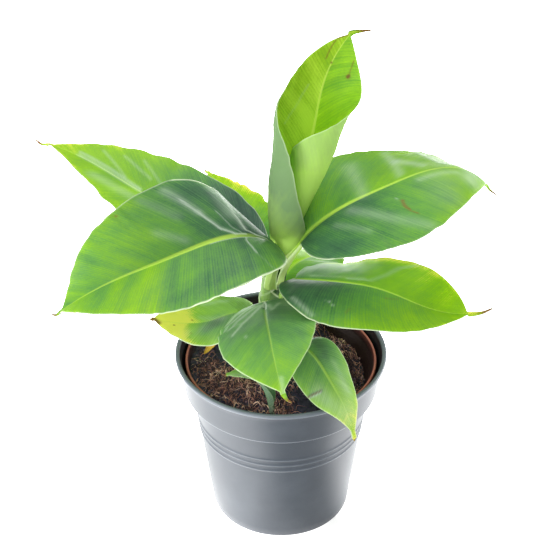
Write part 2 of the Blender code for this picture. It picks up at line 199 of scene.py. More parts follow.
def linear(colour: str) -> tuple[float, float, float, float]:
    """An sRGB hex colour such as "#59a93a" as linear red, green and blue with full alpha."""
    parts = [int(colour[i:i + 2], 16) / 255 for i in (1, 3, 5)]
    return (*(c / 12.92 if c <= 0.04045 else ((c + 0.055) / 1.055) ** 2.4 for c in parts), 1.0)


def put(name: str, data: bpy.types.ID) -> Piece:
    """An object made from its data and linked into the scene.

    Args:
        name: the object's name.
        data: its mesh, lamp or camera.

    Returns:
        The object.
    """
    made = bpy.data.objects.new(name, data)
    bpy.context.scene.collection.objects.link(made)
    return made


@dataclass
class Surface:
    """A mesh still held as arrays: points in millimetres, faces, and what its finish reads."""

    points: Array
    faces: list[Array]
    spots: Array | None = None
    masks: dict[str, Array] = field(default_factory=dict)

    def piece(self, name: str, material: Material, slot: str, nodes: tuple[str, ...] = ()) -> Piece:
        """Puts the arrays into a mesh, rides it on the plant and hides the solids that it stands for.

        Args:
            name: the piece's name.
            material: its finish.
            slot: not used.
            nodes: the solids that it replaces.

        Returns:
            The finished object, with its place in its mesh.
        """
        mesh = bpy.data.meshes.new(name)
        faces = [row for block in self.faces for row in block.tolist()]
        mesh.from_pydata((self.points * MM).tolist(), [], faces)
        mesh.shade_smooth()
        if self.spots is not None:
            corner = np.zeros(len(mesh.loops), np.int32)
            mesh.loops.foreach_get("vertex_index", corner)
            layer = mesh.uv_layers.new(name="spots")
            layer.data.foreach_set("uv", self.spots[corner].astype(np.float32).ravel())
        for key, values in self.masks.items():
            attribute = mesh.attributes.new(key, "FLOAT", "POINT")
            attribute.data.foreach_set("value", values.astype(np.float32).ravel())
        mesh.materials.append(material)
        made = put(name, mesh)
        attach(made, "root")
        if nodes:
            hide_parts(*nodes)
        triangles = sum(len(block) * (block.shape[1] - 2) for block in self.faces)
        LOG.info("%s: %d triangles", name, triangles)
        return made


def add(tree: Nodes, kind: str, inputs: dict | tuple = (), output: str | None = None, stops: tuple = (),
        **settings: object) -> Socket:
    """Adds a shader node, with its settings and its links.

    Args:
        tree: the material's or the world's nodes.
        kind: the node's type, without the ShaderNode that each type's name starts with.
        inputs: value or linked socket for each input, by its name or in order.
        output: name of the output to hand back, or the first one in use.
        stops: place and hex colour of each stop of a colour ramp.
        settings: the node's own properties.

    Returns:
        The node's output socket, or the node itself where it has none.
    """
    node = tree.nodes.new("ShaderNode" + kind)
    for key, value in settings.items():
        setattr(node, key, value)
    for number, (place, colour) in enumerate(stops):
        ramp = node.color_ramp.elements
        stop = ramp[number] if number < len(ramp) else ramp.new(place)
        stop.position, stop.color = place, linear(colour)
    for key, value in inputs.items() if isinstance(inputs, dict) else enumerate(inputs):
        found = [s for s in node.inputs if s.enabled and s.name == key]
        socket = node.inputs[key] if isinstance(key, int) else found[0]
        if isinstance(value, Socket):
            tree.links.new(value, socket)
        else:
            socket.default_value = value
    if not len(node.outputs):
        return node
    return node.outputs[output] if output else next(s for s in node.outputs if s.enabled)


def new_material(name: str) -> tuple[Material, Nodes]:
    """An empty material and its nodes, with nothing in them yet.

    Args:
        name: the material's name.

    Returns:
        The material, and the tree that its nodes go into.
    """
    material = bpy.data.materials.new(name)
    material.use_nodes = True
    material.node_tree.nodes.clear()
    return material, material.node_tree


@dataclass(frozen=True)
class LeafTissue:
    """Living banana leaf, grown and not made: a thin green blade with a satin cuticle over fine veins.

    The eye sees deep blue-green tissue where the leaf is thick and young lime where light comes through
    it, parallel veins about 2 mm apart, a pale midrib, a whitish waxy coat mixed with painted sheen on
    creases and ridges, and a clear margin.
    """

    name: str = "living_leaf_tissue"
    deep: str = "#28493a"
    dark: str = "#3d6e42"
    mid: str = "#5b943c"
    fresh: str = "#78ad20"
    lime: str = "#92c400"
    yellow: str = "#fff05e"
    under_shade: str = "#86a479"
    under_light: str = "#a9d263"
    rib: str = "#bde054"
    stalk: str = "#cfe792"
    # Whitish grey of the waxy coat, also laid on as painted sheen and painted highlight
    wax: str = "#d3e2d2"
    margin: str = "#e2f0cc"
    dry: str = "#80522f"
    vein_pitch: float = 0.85
    line_pitch: float = 1.8
    cloud_pitch: float = 100.0 / 7.0
    speckle_pitch: float = 10.0 / 9.0
    # How much of each pattern there is to a centimetre along a vein
    vein_draw: float = 0.10
    line_draw: float = 0.12
    contrast: float = 0.28
    line_share: float = 0.26
    cloud_share: float = 0.3
    mottle: float = 0.16
    roughness: float = 0.38
    glow: float = 0.22
    relief: float = 0.2

    def material(self) -> Material:
        """The material: colours by the masks, streaks along the veins, and light that comes through.

        The spots map runs along the midrib and away from it in centimetres, so a pattern squeezed in
        its first direction and drawn out in its second follows the veins.

        Returns:
            The finished material.
        """
        material, tree = new_material(self.name)
        mask = {key: add(tree, "Attribute", output="Fac", attribute_name=key)
                for key in ("tone", "wax", "rib", "stalk", "margin", "dry", "under")}
        spots = add(tree, "UVMap", uv_map="spots")
        grain, line, cloud, speck = (1 / (pitch * CM_PER_MM) for pitch in (
            self.vein_pitch, self.line_pitch, self.cloud_pitch, self.speckle_pitch))
        veins = add(tree, "Mapping", {"Vector": spots, "Scale": (grain, self.vein_draw, 1)})
        bands = add(tree, "Mapping", {"Vector": spots, "Scale": (1, self.line_draw, 1)})
        fine, clouds, speckle = (
            add(tree, "TexNoise", {"Vector": place, "Scale": scale, "Detail": detail, "Roughness": rough},
                noise_dimensions="2D")
            for place, scale, detail, rough in (
                (veins, 1.0, 3.0, 0.75), (spots, cloud, 7.0, 0.62), (spots, speck, 2.0, 0.5)))
        lines = add(tree, "TexWave", {"Vector": bands, "Scale": WAVE_REPEAT * line, "Distortion": 3.0,
                                      "Detail": 3.0, "Detail Scale": 0.8}, output="Fac")
        half = self.contrast / 2
        drift = -half - self.mottle / 2
        for pattern, weight in ((speckle, self.mottle), (fine, self.contrast),
                                (lines, self.line_share * self.contrast)):
            drift = add(tree, "Math", (pattern, weight, drift), operation="MULTIPLY_ADD")
        centred = -self.cloud_share / 2 - self.line_share * half
        broad = add(tree, "Math", (clouds, self.cloud_share, centred), operation="MULTIPLY_ADD")
        calm = add(tree, "Math", (mask["under"], -0.7, 1.0), operation="MULTIPLY_ADD")
        drift = add(tree, "Math", (drift, calm, broad), operation="MULTIPLY_ADD")
        tone = add(tree, "Math", (mask["tone"], drift), operation="ADD", use_clamp=True)
        colour = add(tree, "ValToRGB", (tone,), stops=(
            (0.0, self.deep), (0.22, self.dark), (0.42, self.mid), (0.62, self.fresh), (0.8, self.lime),
            (1.0, self.yellow)))
        below = add(tree, "ValToRGB", (tone,), stops=((0.15, self.under_shade), (0.85, self.under_light)))
        # Waxy coat mixed with painted sheen and painted highlight, broken up by the fine vein noise
        bloom_and_sheen = add(tree, "Math", (mask["wax"], fine), operation="MULTIPLY")
        bloom_and_sheen = add(tree, "Math", (bloom_and_sheen, 1.3), operation="MULTIPLY", use_clamp=True)
        broken = add(tree, "Math", (speckle, 1.6, 0.1), operation="MULTIPLY_ADD", use_clamp=True)
        scar = add(tree, "Math", (mask["dry"], broken), operation="MULTIPLY", use_clamp=True)
        for share, shade in (
                (mask["under"], below), (mask["rib"], linear(self.rib)), (mask["stalk"], linear(self.stalk)),
                (bloom_and_sheen, linear(self.wax)), (mask["margin"], linear(self.margin)), (scar, linear(self.dry))):
            colour = add(tree, "Mix", {"Factor": share, "A": colour, "B": shade}, data_type="RGBA")
        rough = self.roughness - 0.08
        for pattern, weight in ((fine, 0.16), (mask["under"], 0.18)):
            rough = add(tree, "Math", (pattern, weight, rough), operation="MULTIPLY_ADD")
        raised = add(tree, "Math", (lines, 0.4, fine), operation="MULTIPLY_ADD")
        bump = add(tree, "Bump", {"Height": raised, "Strength": 0.5, "Distance": self.relief * MM})
        body = add(tree, "BsdfPrincipled", {"Base Color": colour, "Roughness": rough, "Normal": bump,
                                            "IOR": 1.42, "Specular IOR Level": 0.24})
        through = add(tree, "BsdfTranslucent", {"Color": colour, "Normal": bump})
        both = add(tree, "MixShader", (self.glow, body, through))
        add(tree, "OutputMaterial", {"Surface": both})
        return material


@dataclass(frozen=True)
class SheathSkin:
    """Leaf sheaths that wrap one another as a stem: smooth, moist and pale, with a thin clear edge."""

    name: str = "wrapped_leaf_sheath"
    pale: str = "#86a656"
    green: str = "#2c5024"
    edge: str = "#dce9bc"
    old: str = "#8b7448"
    fibre_pitch: float = 1.4
    # How much of the fibres' pattern there is to a centimetre upwards
    fibre_draw: float = 0.5
    relief: float = 0.15
    roughness: float = 0.45

    def material(self) -> Material:
        """Pale green with fine upright fibres, a light line on each sheath's edge and a dry foot.

        Returns:
            The finished material.
        """
        material, tree = new_material(self.name)
        tone, edge, old = (add(tree, "Attribute", output="Fac", attribute_name=key)
                           for key in ("tone", "margin", "dry"))
        spots = add(tree, "UVMap", uv_map="spots")
        across = 1 / (self.fibre_pitch * CM_PER_MM)
        place = add(tree, "Mapping", {"Vector": spots, "Scale": (across, self.fibre_draw, 1)})
        fibre = add(tree, "TexNoise", {"Vector": place, "Scale": 1.0, "Detail": 3.0}, noise_dimensions="2D")
        share = add(tree, "Math", (fibre, 0.5, -0.25), operation="MULTIPLY_ADD")
        # The tone mask holds painted light on the sunny side and painted shade on the far side and above
        # each brim
        share = add(tree, "Math", (tone, share), operation="ADD", use_clamp=True)
        worn = add(tree, "Math", (old, fibre), operation="MULTIPLY")
        worn = add(tree, "Math", (worn, 1.7), operation="MULTIPLY", use_clamp=True)
        colour = linear(self.green)
        for cover, shade in ((share, self.pale), (edge, self.edge), (worn, self.old)):
            colour = add(tree, "Mix", {"Factor": cover, "A": colour, "B": linear(shade)}, data_type="RGBA")
        bump = add(tree, "Bump", {"Height": fibre, "Strength": 0.4, "Distance": self.relief * MM})
        skin = add(tree, "BsdfPrincipled", {"Base Color": colour, "Normal": bump, "IOR": 1.42,
                                            "Roughness": self.roughness})
        add(tree, "OutputMaterial", {"Surface": skin})
        return material


@dataclass(frozen=True)
class MouldedPlastic:
    """Injection-moulded polypropylene: an even satin skin with a faint spark-eroded texture.

    The eye sees one colour, soft broad reflections, faint dust and scuffs, and edges paler from being worn
    and from painted highlight.
    """

    name: str
    colour: str
    # The paler colour of worn edges, also laid on as painted highlight
    worn: str
    # Colour of the pot's inside: painted shade; in the liner it is also the dark inner layer's own colour
    inside: str
    roughness: float
    texture_pitch: float = 0.6
    mottle_pitch: float = 40.0
    relief: float = 0.05
    dust: float = 0.08
    # How much paler the edges get: worn plastic mixed with painted highlight
    wear_and_highlight: float = 0.55
    gloss: float = 0.5

    def material(self) -> Material:
        """The plastic: a slight mottle, dust that dulls it in patches, and a fine moulded grain.

        Returns:
            The finished material.
        """
        material, tree = new_material(self.name)
        spots = add(tree, "TexCoord", output="Object")
        mottle, grain = (
            add(tree, "TexNoise", {"Vector": spots, "Detail": detail, "Scale": 1 / (pitch * MM)})
            for detail, pitch in ((4.0, self.mottle_pitch), (2.0, self.texture_pitch)))
        dust = add(tree, "MapRange", {"Value": mottle, "From Min": 0.42, "From Max": 0.75,
                                      "To Min": 0.0, "To Max": self.dust})
        edge, inside_shade = (add(tree, "Attribute", output="Fac", attribute_name=key)
                        for key in ("margin", "inside"))
        # Paler edges, worn and painted with highlight, plus dust; the inside mask paints the shade inside
        # the pot
        share = add(tree, "Math", (edge, self.wear_and_highlight, dust), operation="MULTIPLY_ADD", use_clamp=True)
        colour = linear(self.colour)
        for cover, shade in ((share, self.worn), (inside_shade, self.inside)):
            colour = add(tree, "Mix", {"Factor": cover, "A": colour, "B": linear(shade)}, data_type="RGBA")
        rough = add(tree, "Math", (mottle, 0.08, self.roughness - 0.04), operation="MULTIPLY_ADD")
        bump = add(tree, "Bump", {"Height": grain, "Strength": 0.25, "Distance": self.relief * MM})
        skin = add(tree, "BsdfPrincipled", {"Base Color": colour, "Roughness": rough, "Normal": bump,
                                            "IOR": 1.5, "Specular IOR Level": self.gloss})
        add(tree, "OutputMaterial", {"Surface": skin})
        return material


@dataclass(frozen=True)
class PottingMix:
    """Milled peat and coir: crumbs and curly husk fibres, damp and matt, near black to orange-brown."""

    name: str
    dark: str
    middle: str
    light: str
    grain_pitch: float = 1.6
    relief: float = 0.5

    def material(self) -> Material:
        """Colour from each crumb's or fibre's own share, broken up by a fine grain.

        Returns:
            The finished material.
        """
        material, tree = new_material(self.name)
        share = add(tree, "Attribute", output="Fac", attribute_name="tone")
        spots = add(tree, "TexCoord", output="Object")
        grain = add(tree, "TexNoise", {"Vector": spots, "Detail": 4.0, "Roughness": 0.7,
                                       "Scale": 1 / (self.grain_pitch * MM)})
        mixed = add(tree, "Math", (grain, 0.5, -0.25), operation="MULTIPLY_ADD")
        mixed = add(tree, "Math", (share, mixed), operation="ADD", use_clamp=True)
        colour = add(tree, "ValToRGB", (mixed,),
                     stops=((0.1, self.dark), (0.55, self.middle), (1.0, self.light)))
        bump = add(tree, "Bump", {"Height": grain, "Strength": 0.8, "Distance": self.relief * MM})
        skin = add(tree, "BsdfPrincipled", {"Base Color": colour, "Normal": bump, "Roughness": 0.85,
                                            "Specular IOR Level": 0.25})
        add(tree, "OutputMaterial", {"Surface": skin})
        return material


@dataclass(frozen=True)
class Effect:
    """What a mark does at its middle: height in millimetres, and shares of what the finish reads."""

    height: float = 0.0
    wax: float = 0.0
    dry: float = 0.0
    tone: float = 0.0
    margin: float = 0.0


class Kind(Enum):
    """The marks drawn on a banana leaf: its own, and painted sheen, highlight, light and shade."""

    # Ridges, creases and scratches carry a pale line that is partly painted highlight, and the sheen patches
    # mix a waxy coat with painted sheen
    RIDGE = Effect(height=0.6, wax=0.7)
    CREASE = Effect(height=-0.6, wax=0.5)
    SCRATCH_AND_HIGHLIGHT = Effect(wax=1.1)
    BLOOM_AND_SHEEN = Effect(wax=0.6)
    SCAR = Effect(height=-0.1, dry=1.5)
    # The lime and deep marks lighten and darken the tone: partly the leaf's own colour, partly painted light
    # and painted shade
    LIME_AND_LIGHT = Effect(tone=0.3)
    DEEP_AND_SHADE = Effect(tone=-0.3)
    RIM = Effect(margin=0.9)


# For each kind its marks: half width, strength, and a line's spots in shares along and across the blade
Marks = dict[Kind, list[tuple]]


def margin_run(start: float, end: float, side: float = 1.0, count: int = 9) -> tuple[Spot, ...]:
    """A line of spots along a blade's margin, closer together near its base; side is -1 for the right."""
    return tuple((start + (end - start) * (i / (count - 1)) ** 1.5, side) for i in range(count))


@dataclass(frozen=True)
class LeafForm:
    """One leaf's sizes; lists of angles run evenly along the blade from its base to its tip."""

    base: Point
    foot: Point
    length: float
    heading: Angles
    rise: Angles
    roll: Angles
    half: Pair
    swell: float
    taper: float
    fold: Angles
    curl: Angles
    sweep: Angles
    stalk: Pair = (3.0, 4.6)
    tail: float = 8.0
    tail_turn: Pair = (0.0, -20.0)
    tail_twist: float = 0.0
    fold_right: Angles | None = None
    curl_right: Angles | None = None


@dataclass(frozen=True)
class LeafLook:
    """One leaf's colours and relief: tone is 0 for the deepest green and 1 for yellow-lime.

    The marks lie on its upper side and the under marks on the other.
    """

    # Tone along each half: the tissue's own colour together with painted light and painted shade
    left: Angles
    right: Angles
    marks: Marks = field(default_factory=dict)
    under_marks: Marks = field(default_factory=dict)
    under: Pair = (0.5, 0.5)
    lean: Angles = (25.0, 25.0)
    lean_right: Angles | None = None
    edge_tone: float = 0.1
    edge_line: float = 0.5
    ripple: float = 0.8
    ripple_pitch: float = 21.0
    pleat: float = 0.25
    pleat_pitch: float = 6.5
    swell: float = 0.7
    streak: float = 0.03
    # An even whitish veil over the blade: a waxy coat mixed with painted sheen
    haze_and_sheen: float = 0.03
    ragged: float = 0.006
    rib_share: float = 0.9
    rib_half: float = 1.9
    rib_base: float = 0.55
    # Share of a stalk in its pale colour; what is not pale is darkened as painted shade
    stalk_pale_vs_shade: float = 1.0
    under_share: float = 1.0


@dataclass
class Leaf:
    """A leaf with its stalk and its thread of a tail, as one closed thin shell."""

    name: str
    form: LeafForm
    look: LeafLook
    seed: int
    rolled: bool = False
    blade_thick: float = 0.75
    margin_thick: float = 0.4
    stalk_rows: int = 18
    tail_rows: int = 26
    half_cells: int = 40
    row_pitch: float = 0.9
    stalk_reach: float = 0.9
    channel_fold: float = 48.0
    sheath_flare: float = 1.3
    tail_half: Pair = (2.0, 0.45)
    tail_thick: float = 1.7
    tail_wave: float = 24.0
    tail_tone: float = 0.06
    tail_dry: float = 1.4
    # How much closer the rows stand at the blade's ends, and the cells near the midrib and the margin
    end_ease: float = 0.55
    cell_ease: float = 0.75
    waver_pitch: float = 7.0
    margin_line: float = 0.6
    channel_depth: float = 0.45
    # Sizes in millimetres along and across the blade: of a pleat, its finer half, a swell and a patch
    pleat_run: float = 60.0
    fine_run: float = 45.0
    swell_size: Pair = (17.0, 40.0)
    patch_size: Pair = (26.0, 22.0)
    patch_tone: float = 0.07
    foot_half: float = 27.0
    foot_share: float = 1.0 / 6.0
    path_steps: int = 400

    def path(self, start: Array, length: float, rise: Array, heading: Array) -> tuple[Array, Array]:
        """Points a step apart along a curve that has these elevations and headings in degrees.

        Args:
            start: the curve's first point.
            length: its length.
            rise: elevation at each point.
            heading: compass angle from +X at each point.

        Returns:
            The points, and the directions there.
        """
        rise, heading = np.radians(rise), np.radians(heading)
        tangent = np.stack([np.cos(rise) * np.cos(heading), np.cos(rise) * np.sin(heading),
                            np.sin(rise)], -1)
        run = (tangent[1:] + tangent[:-1]) / 2 * length / (len(rise) - 1)
        return np.concatenate([[start], start + np.cumsum(run, 0)]), tangent

    def stalk_path(self, tangent: Array) -> Array:
        """A cubic that leaves the stem upwards and meets the blade's base along its midrib.

        Args:
            tangent: the midrib's direction at the blade's base.

        Returns:
            Points from the stalk's foot up to, but without, the blade's base.
        """
        a, b = np.array(self.form.foot), np.array(self.form.base)
        reach = self.stalk_reach * np.linalg.norm(b - a)
        t = np.linspace(0, 1, self.stalk_rows, endpoint=False)[:, None]
        ends = (2 * t**3 - 3 * t**2 + 1) * a + (3 * t**2 - 2 * t**3) * b
        up = np.array([0, 0, reach])
        return ends + (t**3 - 2 * t**2 + t) * up + (t**3 - t**2) * tangent * reach

    def width_share(self, u: Array) -> Array:
        """The half width as a share of its greatest: powers of the ways from base and tip."""
        widest = self.form.swell / (self.form.swell + self.form.taper)
        return (u / widest) ** self.form.swell * ((1 - u) / (1 - widest)) ** self.form.taper

    def rows(self) -> dict[str, Array]:
        """Each cross-section's place, axes and sizes, from the stalk's foot to the end of the tail.

        The midrib is worked out by adding up short steps along its elevations and headings.  The
        sideways axis is level at first, and the roll then turns it round the midrib.

        Returns:
            Arrays with one entry a cross-section, by name.
        """
        form = self.form
        fine = np.linspace(0, 1, self.path_steps)
        count = int(form.length / self.row_pitch)
        even = np.linspace(0, 1, count)
        u = (1 - self.end_ease) * even + self.end_ease * (1 - np.cos(math.pi * even)) / 2
        blade, tangent = self.path(np.array(form.base, float), form.length, along(form.rise, fine),
                                   along(form.heading, fine))
        points = np.stack([np.interp(u, fine, blade[:, i]) for i in range(3)], -1)
        stalk = np.zeros((0, 3)) if self.rolled else self.stalk_path(tangent[0])
        turn = np.linspace(0, 1, self.tail_rows)
        wave = self.tail_wave * np.sin(2 * math.pi * turn) * (0.3 + 0.7 * turn)
        rise = form.rise[-1] + form.tail_turn[1] * np.sqrt(turn) - wave
        heading = form.heading[-1] + form.tail_turn[0] * turn + wave
        tail = self.path(points[-1], form.tail, rise, heading)[0][1:]
        place = np.concatenate([stalk, points, tail])
        reached = np.concatenate([np.zeros(len(stalk)), u, np.ones(len(tail))])
        forward = unit(np.gradient(place, axis=0))
        facing = np.radians(along(form.heading, reached))
        side = np.stack([-np.sin(facing), np.cos(facing), 0 * facing], -1)
        side = unit(side - (side * forward).sum(-1, keepdims=True) * forward)
        up = np.cross(forward, side)
        on_tail = np.concatenate([np.zeros(len(stalk) + count - 1), np.linspace(0, 1, len(tail) + 1)])
        roll = np.radians(along(form.roll, reached) + form.tail_twist * step(0, 0.3, on_tail))[:, None]
        side, up = np.cos(roll) * side + np.sin(roll) * up, np.cos(roll) * up - np.sin(roll) * side
        on_stalk = np.linspace(1, 0, len(stalk), endpoint=False)
        return {
            "place": place, "forward": forward, "side": side, "up": up, "u": reached, "tail": on_tail,
            "stalk": np.concatenate([on_stalk, np.zeros(count + len(tail))]),
            "travel": np.concatenate([[0], np.cumsum(np.linalg.norm(np.diff(place, axis=0), axis=-1))])}

    def half_widths(self, row: dict[str, Array], left: bool) -> Array:
        """Half width of one side of each cross-section, with a seeded wavering of its margin.

        Args:
            row: the cross-sections, as rows gives them.
            left: whether the side is the left one.

        Returns:
            One half width for each cross-section.
        """
        form = self.form
        u, on_tail = row["u"], row["tail"]
        is_blade = (row["stalk"] == 0) & (on_tail == 0)
        share = np.where(is_blade, self.width_share(np.clip(u, 0, 1)), 0)
        waver = noise(u * form.length / self.waver_pitch, u * 0 + (3.5 if left else 9.5), self.seed)
        share = share * (1 + self.look.ragged * 2 * waver)
        if self.rolled:
            least = self.foot_half * np.clip(1 - u / self.foot_share, 0.02, 1)
        else:
            least = form.stalk[0] * (1 - u) * (1 + self.sheath_flare * row["stalk"] ** 3)
        thread = between(self.tail_half[::-1], (1 - on_tail) ** 1.5)
        least = np.where(on_tail > 0, thread, np.maximum(least, self.tail_half[0]))
        return np.maximum(form.half[0 if left else 1] * share, least)

    def build(self, material: Material, slot: str) -> Piece:
        """Works out both surfaces, their relief and masks, and makes the piece.

        Each half of a cross-section leaves the midrib at the fold angle and bends evenly by the curl
        angle on its way to the margin, as an arc does; a rolled leaf's halves bend on given radii.
        The veins' sweep carries each half forward along the blade.  The upper surface is then raised
        by its pleats, ripples and marks, and the under one lies a leaf's thickness below it.

        Args:
            material: the leaf tissue's finish.
            slot: its material slot's name, handed on to the piece, which does not use it.

        Returns:
            The finished object.
        """
        form, look = self.form, self.look
        row = self.rows()
        u = row["u"]
        spread = np.linspace(0, 1, self.half_cells + 1)
        spread = spread - self.cell_ease * np.sin(2 * math.pi * spread) / (2 * math.pi)
        across = np.concatenate([-spread[:0:-1], spread])[None, :]
        reach = np.abs(across)

        def by_half(left_values: Array, right_values: Array) -> Array:
            """Values of each row, spread over the left and the right half of its section."""
            return np.where(across >= 0, left_values[:, None], right_values[:, None])

        half = by_half(self.half_widths(row, True), self.half_widths(row, False))
        fold = by_half(along(form.fold, u), along(form.fold_right or form.fold, u))
        curl = by_half(along(form.curl, u), along(form.curl_right or form.curl, u))
        stalk, tail = row["stalk"][:, None], row["tail"][:, None]
        if not self.rolled:
            fold = fold + (self.channel_fold - fold) * step(0, 0.5, stalk)
        curl = half / curl if self.rolled else np.radians(curl)
        fold = np.radians(fold)
        bend = reach * curl
        chord = reach * half * np.sinc(bend / 2 / math.pi)
        sideways = np.sign(across) * chord * np.cos(fold + bend / 2)
        lift = chord * np.sin(fold + bend / 2)
        ahead = reach * half * np.tan(np.radians(along(form.sweep, u)))[:, None] * (tail == 0)
        slope = (fold + bend) * np.sign(across)
        side, up = row["side"][:, None], row["up"][:, None]
        normal = np.cos(slope)[..., None] * up - np.sin(slope)[..., None] * side
        top = row["place"][:, None] + sideways[..., None] * side + lift[..., None] * up
        top = top + ahead[..., None] * row["forward"][:, None]

        x = (u * form.length)[:, None] + 0 * across
        y = across * half
        lean = by_half(along(look.lean, u), along(look.lean_right or look.lean, u))
        lag = np.tan(np.radians(lean)) * np.abs(y) * (stalk == 0)
        height, masks = self.relief(x, y, x - lag, across, half, stalk, tail)
        top = top + height[..., None] * normal
        rib_width = form.stalk[0] * (1 - 0.75 * u[:, None]) + 0.4
        keel = np.exp(-((y / rib_width) ** 2)) * (form.stalk[1] - self.blade_thick)
        keel = keel * (1 - u[:, None]) ** 0.8 * (0 if self.rolled else 1)
        thick = between((self.blade_thick, self.margin_thick), reach**2) + keel
        thick = np.where(tail > 0, self.tail_thick * (1 - 0.5 * tail), thick)
        under = top - normal * thick[..., None]

        rings = np.concatenate([top, under[:, ::-1]], 1)
        spots = np.stack([row["travel"][:, None] - lag, y], -1) * CM_PER_MM
        return Surface(
            points=rings.reshape(-1, 3), faces=shell_faces(*rings.shape[:2]),
            spots=np.concatenate([spots, spots[:, ::-1]], 1).reshape(-1, 2), masks=masks,
        ).piece(self.name, material, slot, (self.name,))

    def drawn(self, marks: Marks, x: Array, y: Array) -> dict[str, Array]:
        """What the marks on one side of the leaf add up to: each is a bell-shaped line.

        Args:
            marks: the marks.
            x: way along the midrib.
            y: way from the midrib, left positive.

        Returns:
            A field over the blade for each thing that an effect changes.
        """
        total = {key: np.zeros_like(y) for key in vars(Effect())}
        for kind, runs in marks.items():
            for width, strength, *spots in runs:
                line = [(s * self.form.length, t * self.half_at(s, t >= 0)) for s, t in spots]
                amount = np.exp(-((distance_to_path(x, y, line) / width) ** 2)) * strength
                for key, share in vars(kind.value).items():
                    total[key] += share * amount * (min(width / 2, 1) if key == "height" else 1)
        return total

    def relief(self, x: Array, y: Array, vein: Array, across: Array, half: Array, stalk: Array,
               tail: Array) -> tuple[Array, dict[str, Array]]:
        """Height of the upper surface over its plain form, and the masks that the finish reads.

        Pleats are noise drawn out along the veins, ripples are a wave that grows with the cube of the
        way to the margin, and the midrib is a shallow channel.

        Args:
            x: way along the midrib.
            y: way from the midrib, left positive.
            vein: way along the midrib to where each point's vein leaves it.
            across: share of the half width, left positive.
            half: half width at each point.
            stalk: 1 at the stalk's foot to 0 at the blade.
            tail: 0 on the blade to 1 at the tail's end.

        Returns:
            The height, and each mask over the upper and the under surface.
        """
        form, look = self.form, self.look
        u, reach = x / form.length, np.abs(across)
        on_blade = (stalk == 0) & (tail == 0)
        left = across >= 0
        inside = step(0.05, 0.4, reach) * (half / max(form.half))

        def drift(along_vein: Array, away: Array, rows: Pair, number: int) -> Array:
            """Noise of which each half of the blade reads its own rows, so that the two differ."""
            return noise(along_vein, away + np.where(left, *rows), self.seed + number)

        pleats = drift(vein / look.pleat_pitch, y / self.pleat_run, (11.0, 40.0), 1)
        pleats = pleats + 0.5 * drift(vein / look.pleat_pitch * 2.5, y / self.fine_run, (7.0, 30.0), 2)
        waves = drift(vein / self.swell_size[0], y / self.swell_size[1], (2.0, 20.0), 5)
        sway = drift(x / look.ripple_pitch, 0 * y, (5.5, 17.5), 3)
        turn = 2 * math.pi * (x / look.ripple_pitch + 1.3 * sway)
        height = (look.pleat * pleats + look.swell * waves) * inside * (1 - 0.7 * reach**4)
        height = height + look.ripple * np.sin(turn) * reach**3 * half / max(form.half)
        rib_half = look.rib_half * (1 - u) ** 1.1 + 0.3
        channel = self.channel_depth * np.exp(-((y / rib_half) ** 2)) * (1 - u) * (not self.rolled)
        over, under = self.drawn(look.marks, x, y), self.drawn(look.under_marks, x, y)
        height = np.where(on_blade, height - channel + over["height"], 0)
        green = np.where(left, along(look.left, u), along(look.right, u))
        # Painted shade on a stalk that is not all pale
        green = green - 0.3 * (1 - look.stalk_pale_vs_shade) * (stalk > 0)
        patches = self.patch_tone * noise(x / self.patch_size[0], y / self.patch_size[1], self.seed + 4)
        tone = green + patches + over["tone"] + look.edge_tone * step(0.72, 1.0, reach)
        tone = tone + look.streak * (pleats + 0.8 * waves) + self.tail_tone * (tail > 0)
        below = np.where(left, look.under[0], look.under[1]) + patches + under["tone"] + 0 * tone
        # Painted shade below the stalk, stronger on its left half than on its right
        below = below - 0.5 * (1 - look.stalk_pale_vs_shade) * (stalk > 0) * np.where(left, 1.0, 0.3)
        margin = look.edge_line * np.exp(-(((1 - reach) * half / self.margin_line) ** 2)) + over["margin"]
        margin = np.where(tail > 0, 0, margin)
        rib = look.rib_share * (1 - step(0.6, 1.3, np.abs(y) / rib_half)) * (1 - 0.6 * u**2)
        rib = rib * (look.rib_base + (1 - look.rib_base) * step(0.02, 0.3, u))
        rib = np.where(on_blade, rib, (stalk > 0) * look.stalk_pale_vs_shade)
        keel = np.exp(-((y / (form.stalk[0] * (1 - 0.8 * u) + 0.4)) ** 2)) * on_blade * (1 - 0.5 * u)
        under_rib = np.where(on_blade, 0.7 * look.rib_share * keel * (not self.rolled), rib)
        pale = look.stalk_pale_vs_shade * step(0, 0.55, stalk) + 0 * y
        # The veil and the marks' whitish share: a waxy coat mixed with painted sheen and painted highlight
        wax = look.haze_and_sheen * (1 - 0.7 * u) + over["wax"]
        brown = over["dry"] + self.tail_dry * step(0.2, 0.9, tail)
        pairs = {
            "tone": (tone, below), "wax": (np.clip(wax, 0, 1), np.clip(under["wax"], 0, 1)),
            "rib": (rib, under_rib), "stalk": (pale, pale), "margin": (np.clip(margin, 0, 1),) * 2,
            "dry": (np.clip(brown, 0, 1), np.clip(brown - 0.2 * over["dry"] + under["dry"], 0, 1)),
            "under": (0 * y, look.under_share * on_blade + 0 * y)}
        return height, {key: np.concatenate([a, b[:, ::-1]], 1) for key, (a, b) in pairs.items()}

    def half_at(self, u: float, left: bool) -> float:
        """The blade's half width at one share of its length."""
        return float(self.form.half[0 if left else 1] * self.width_share(np.clip(u, 0.001, 0.999)))


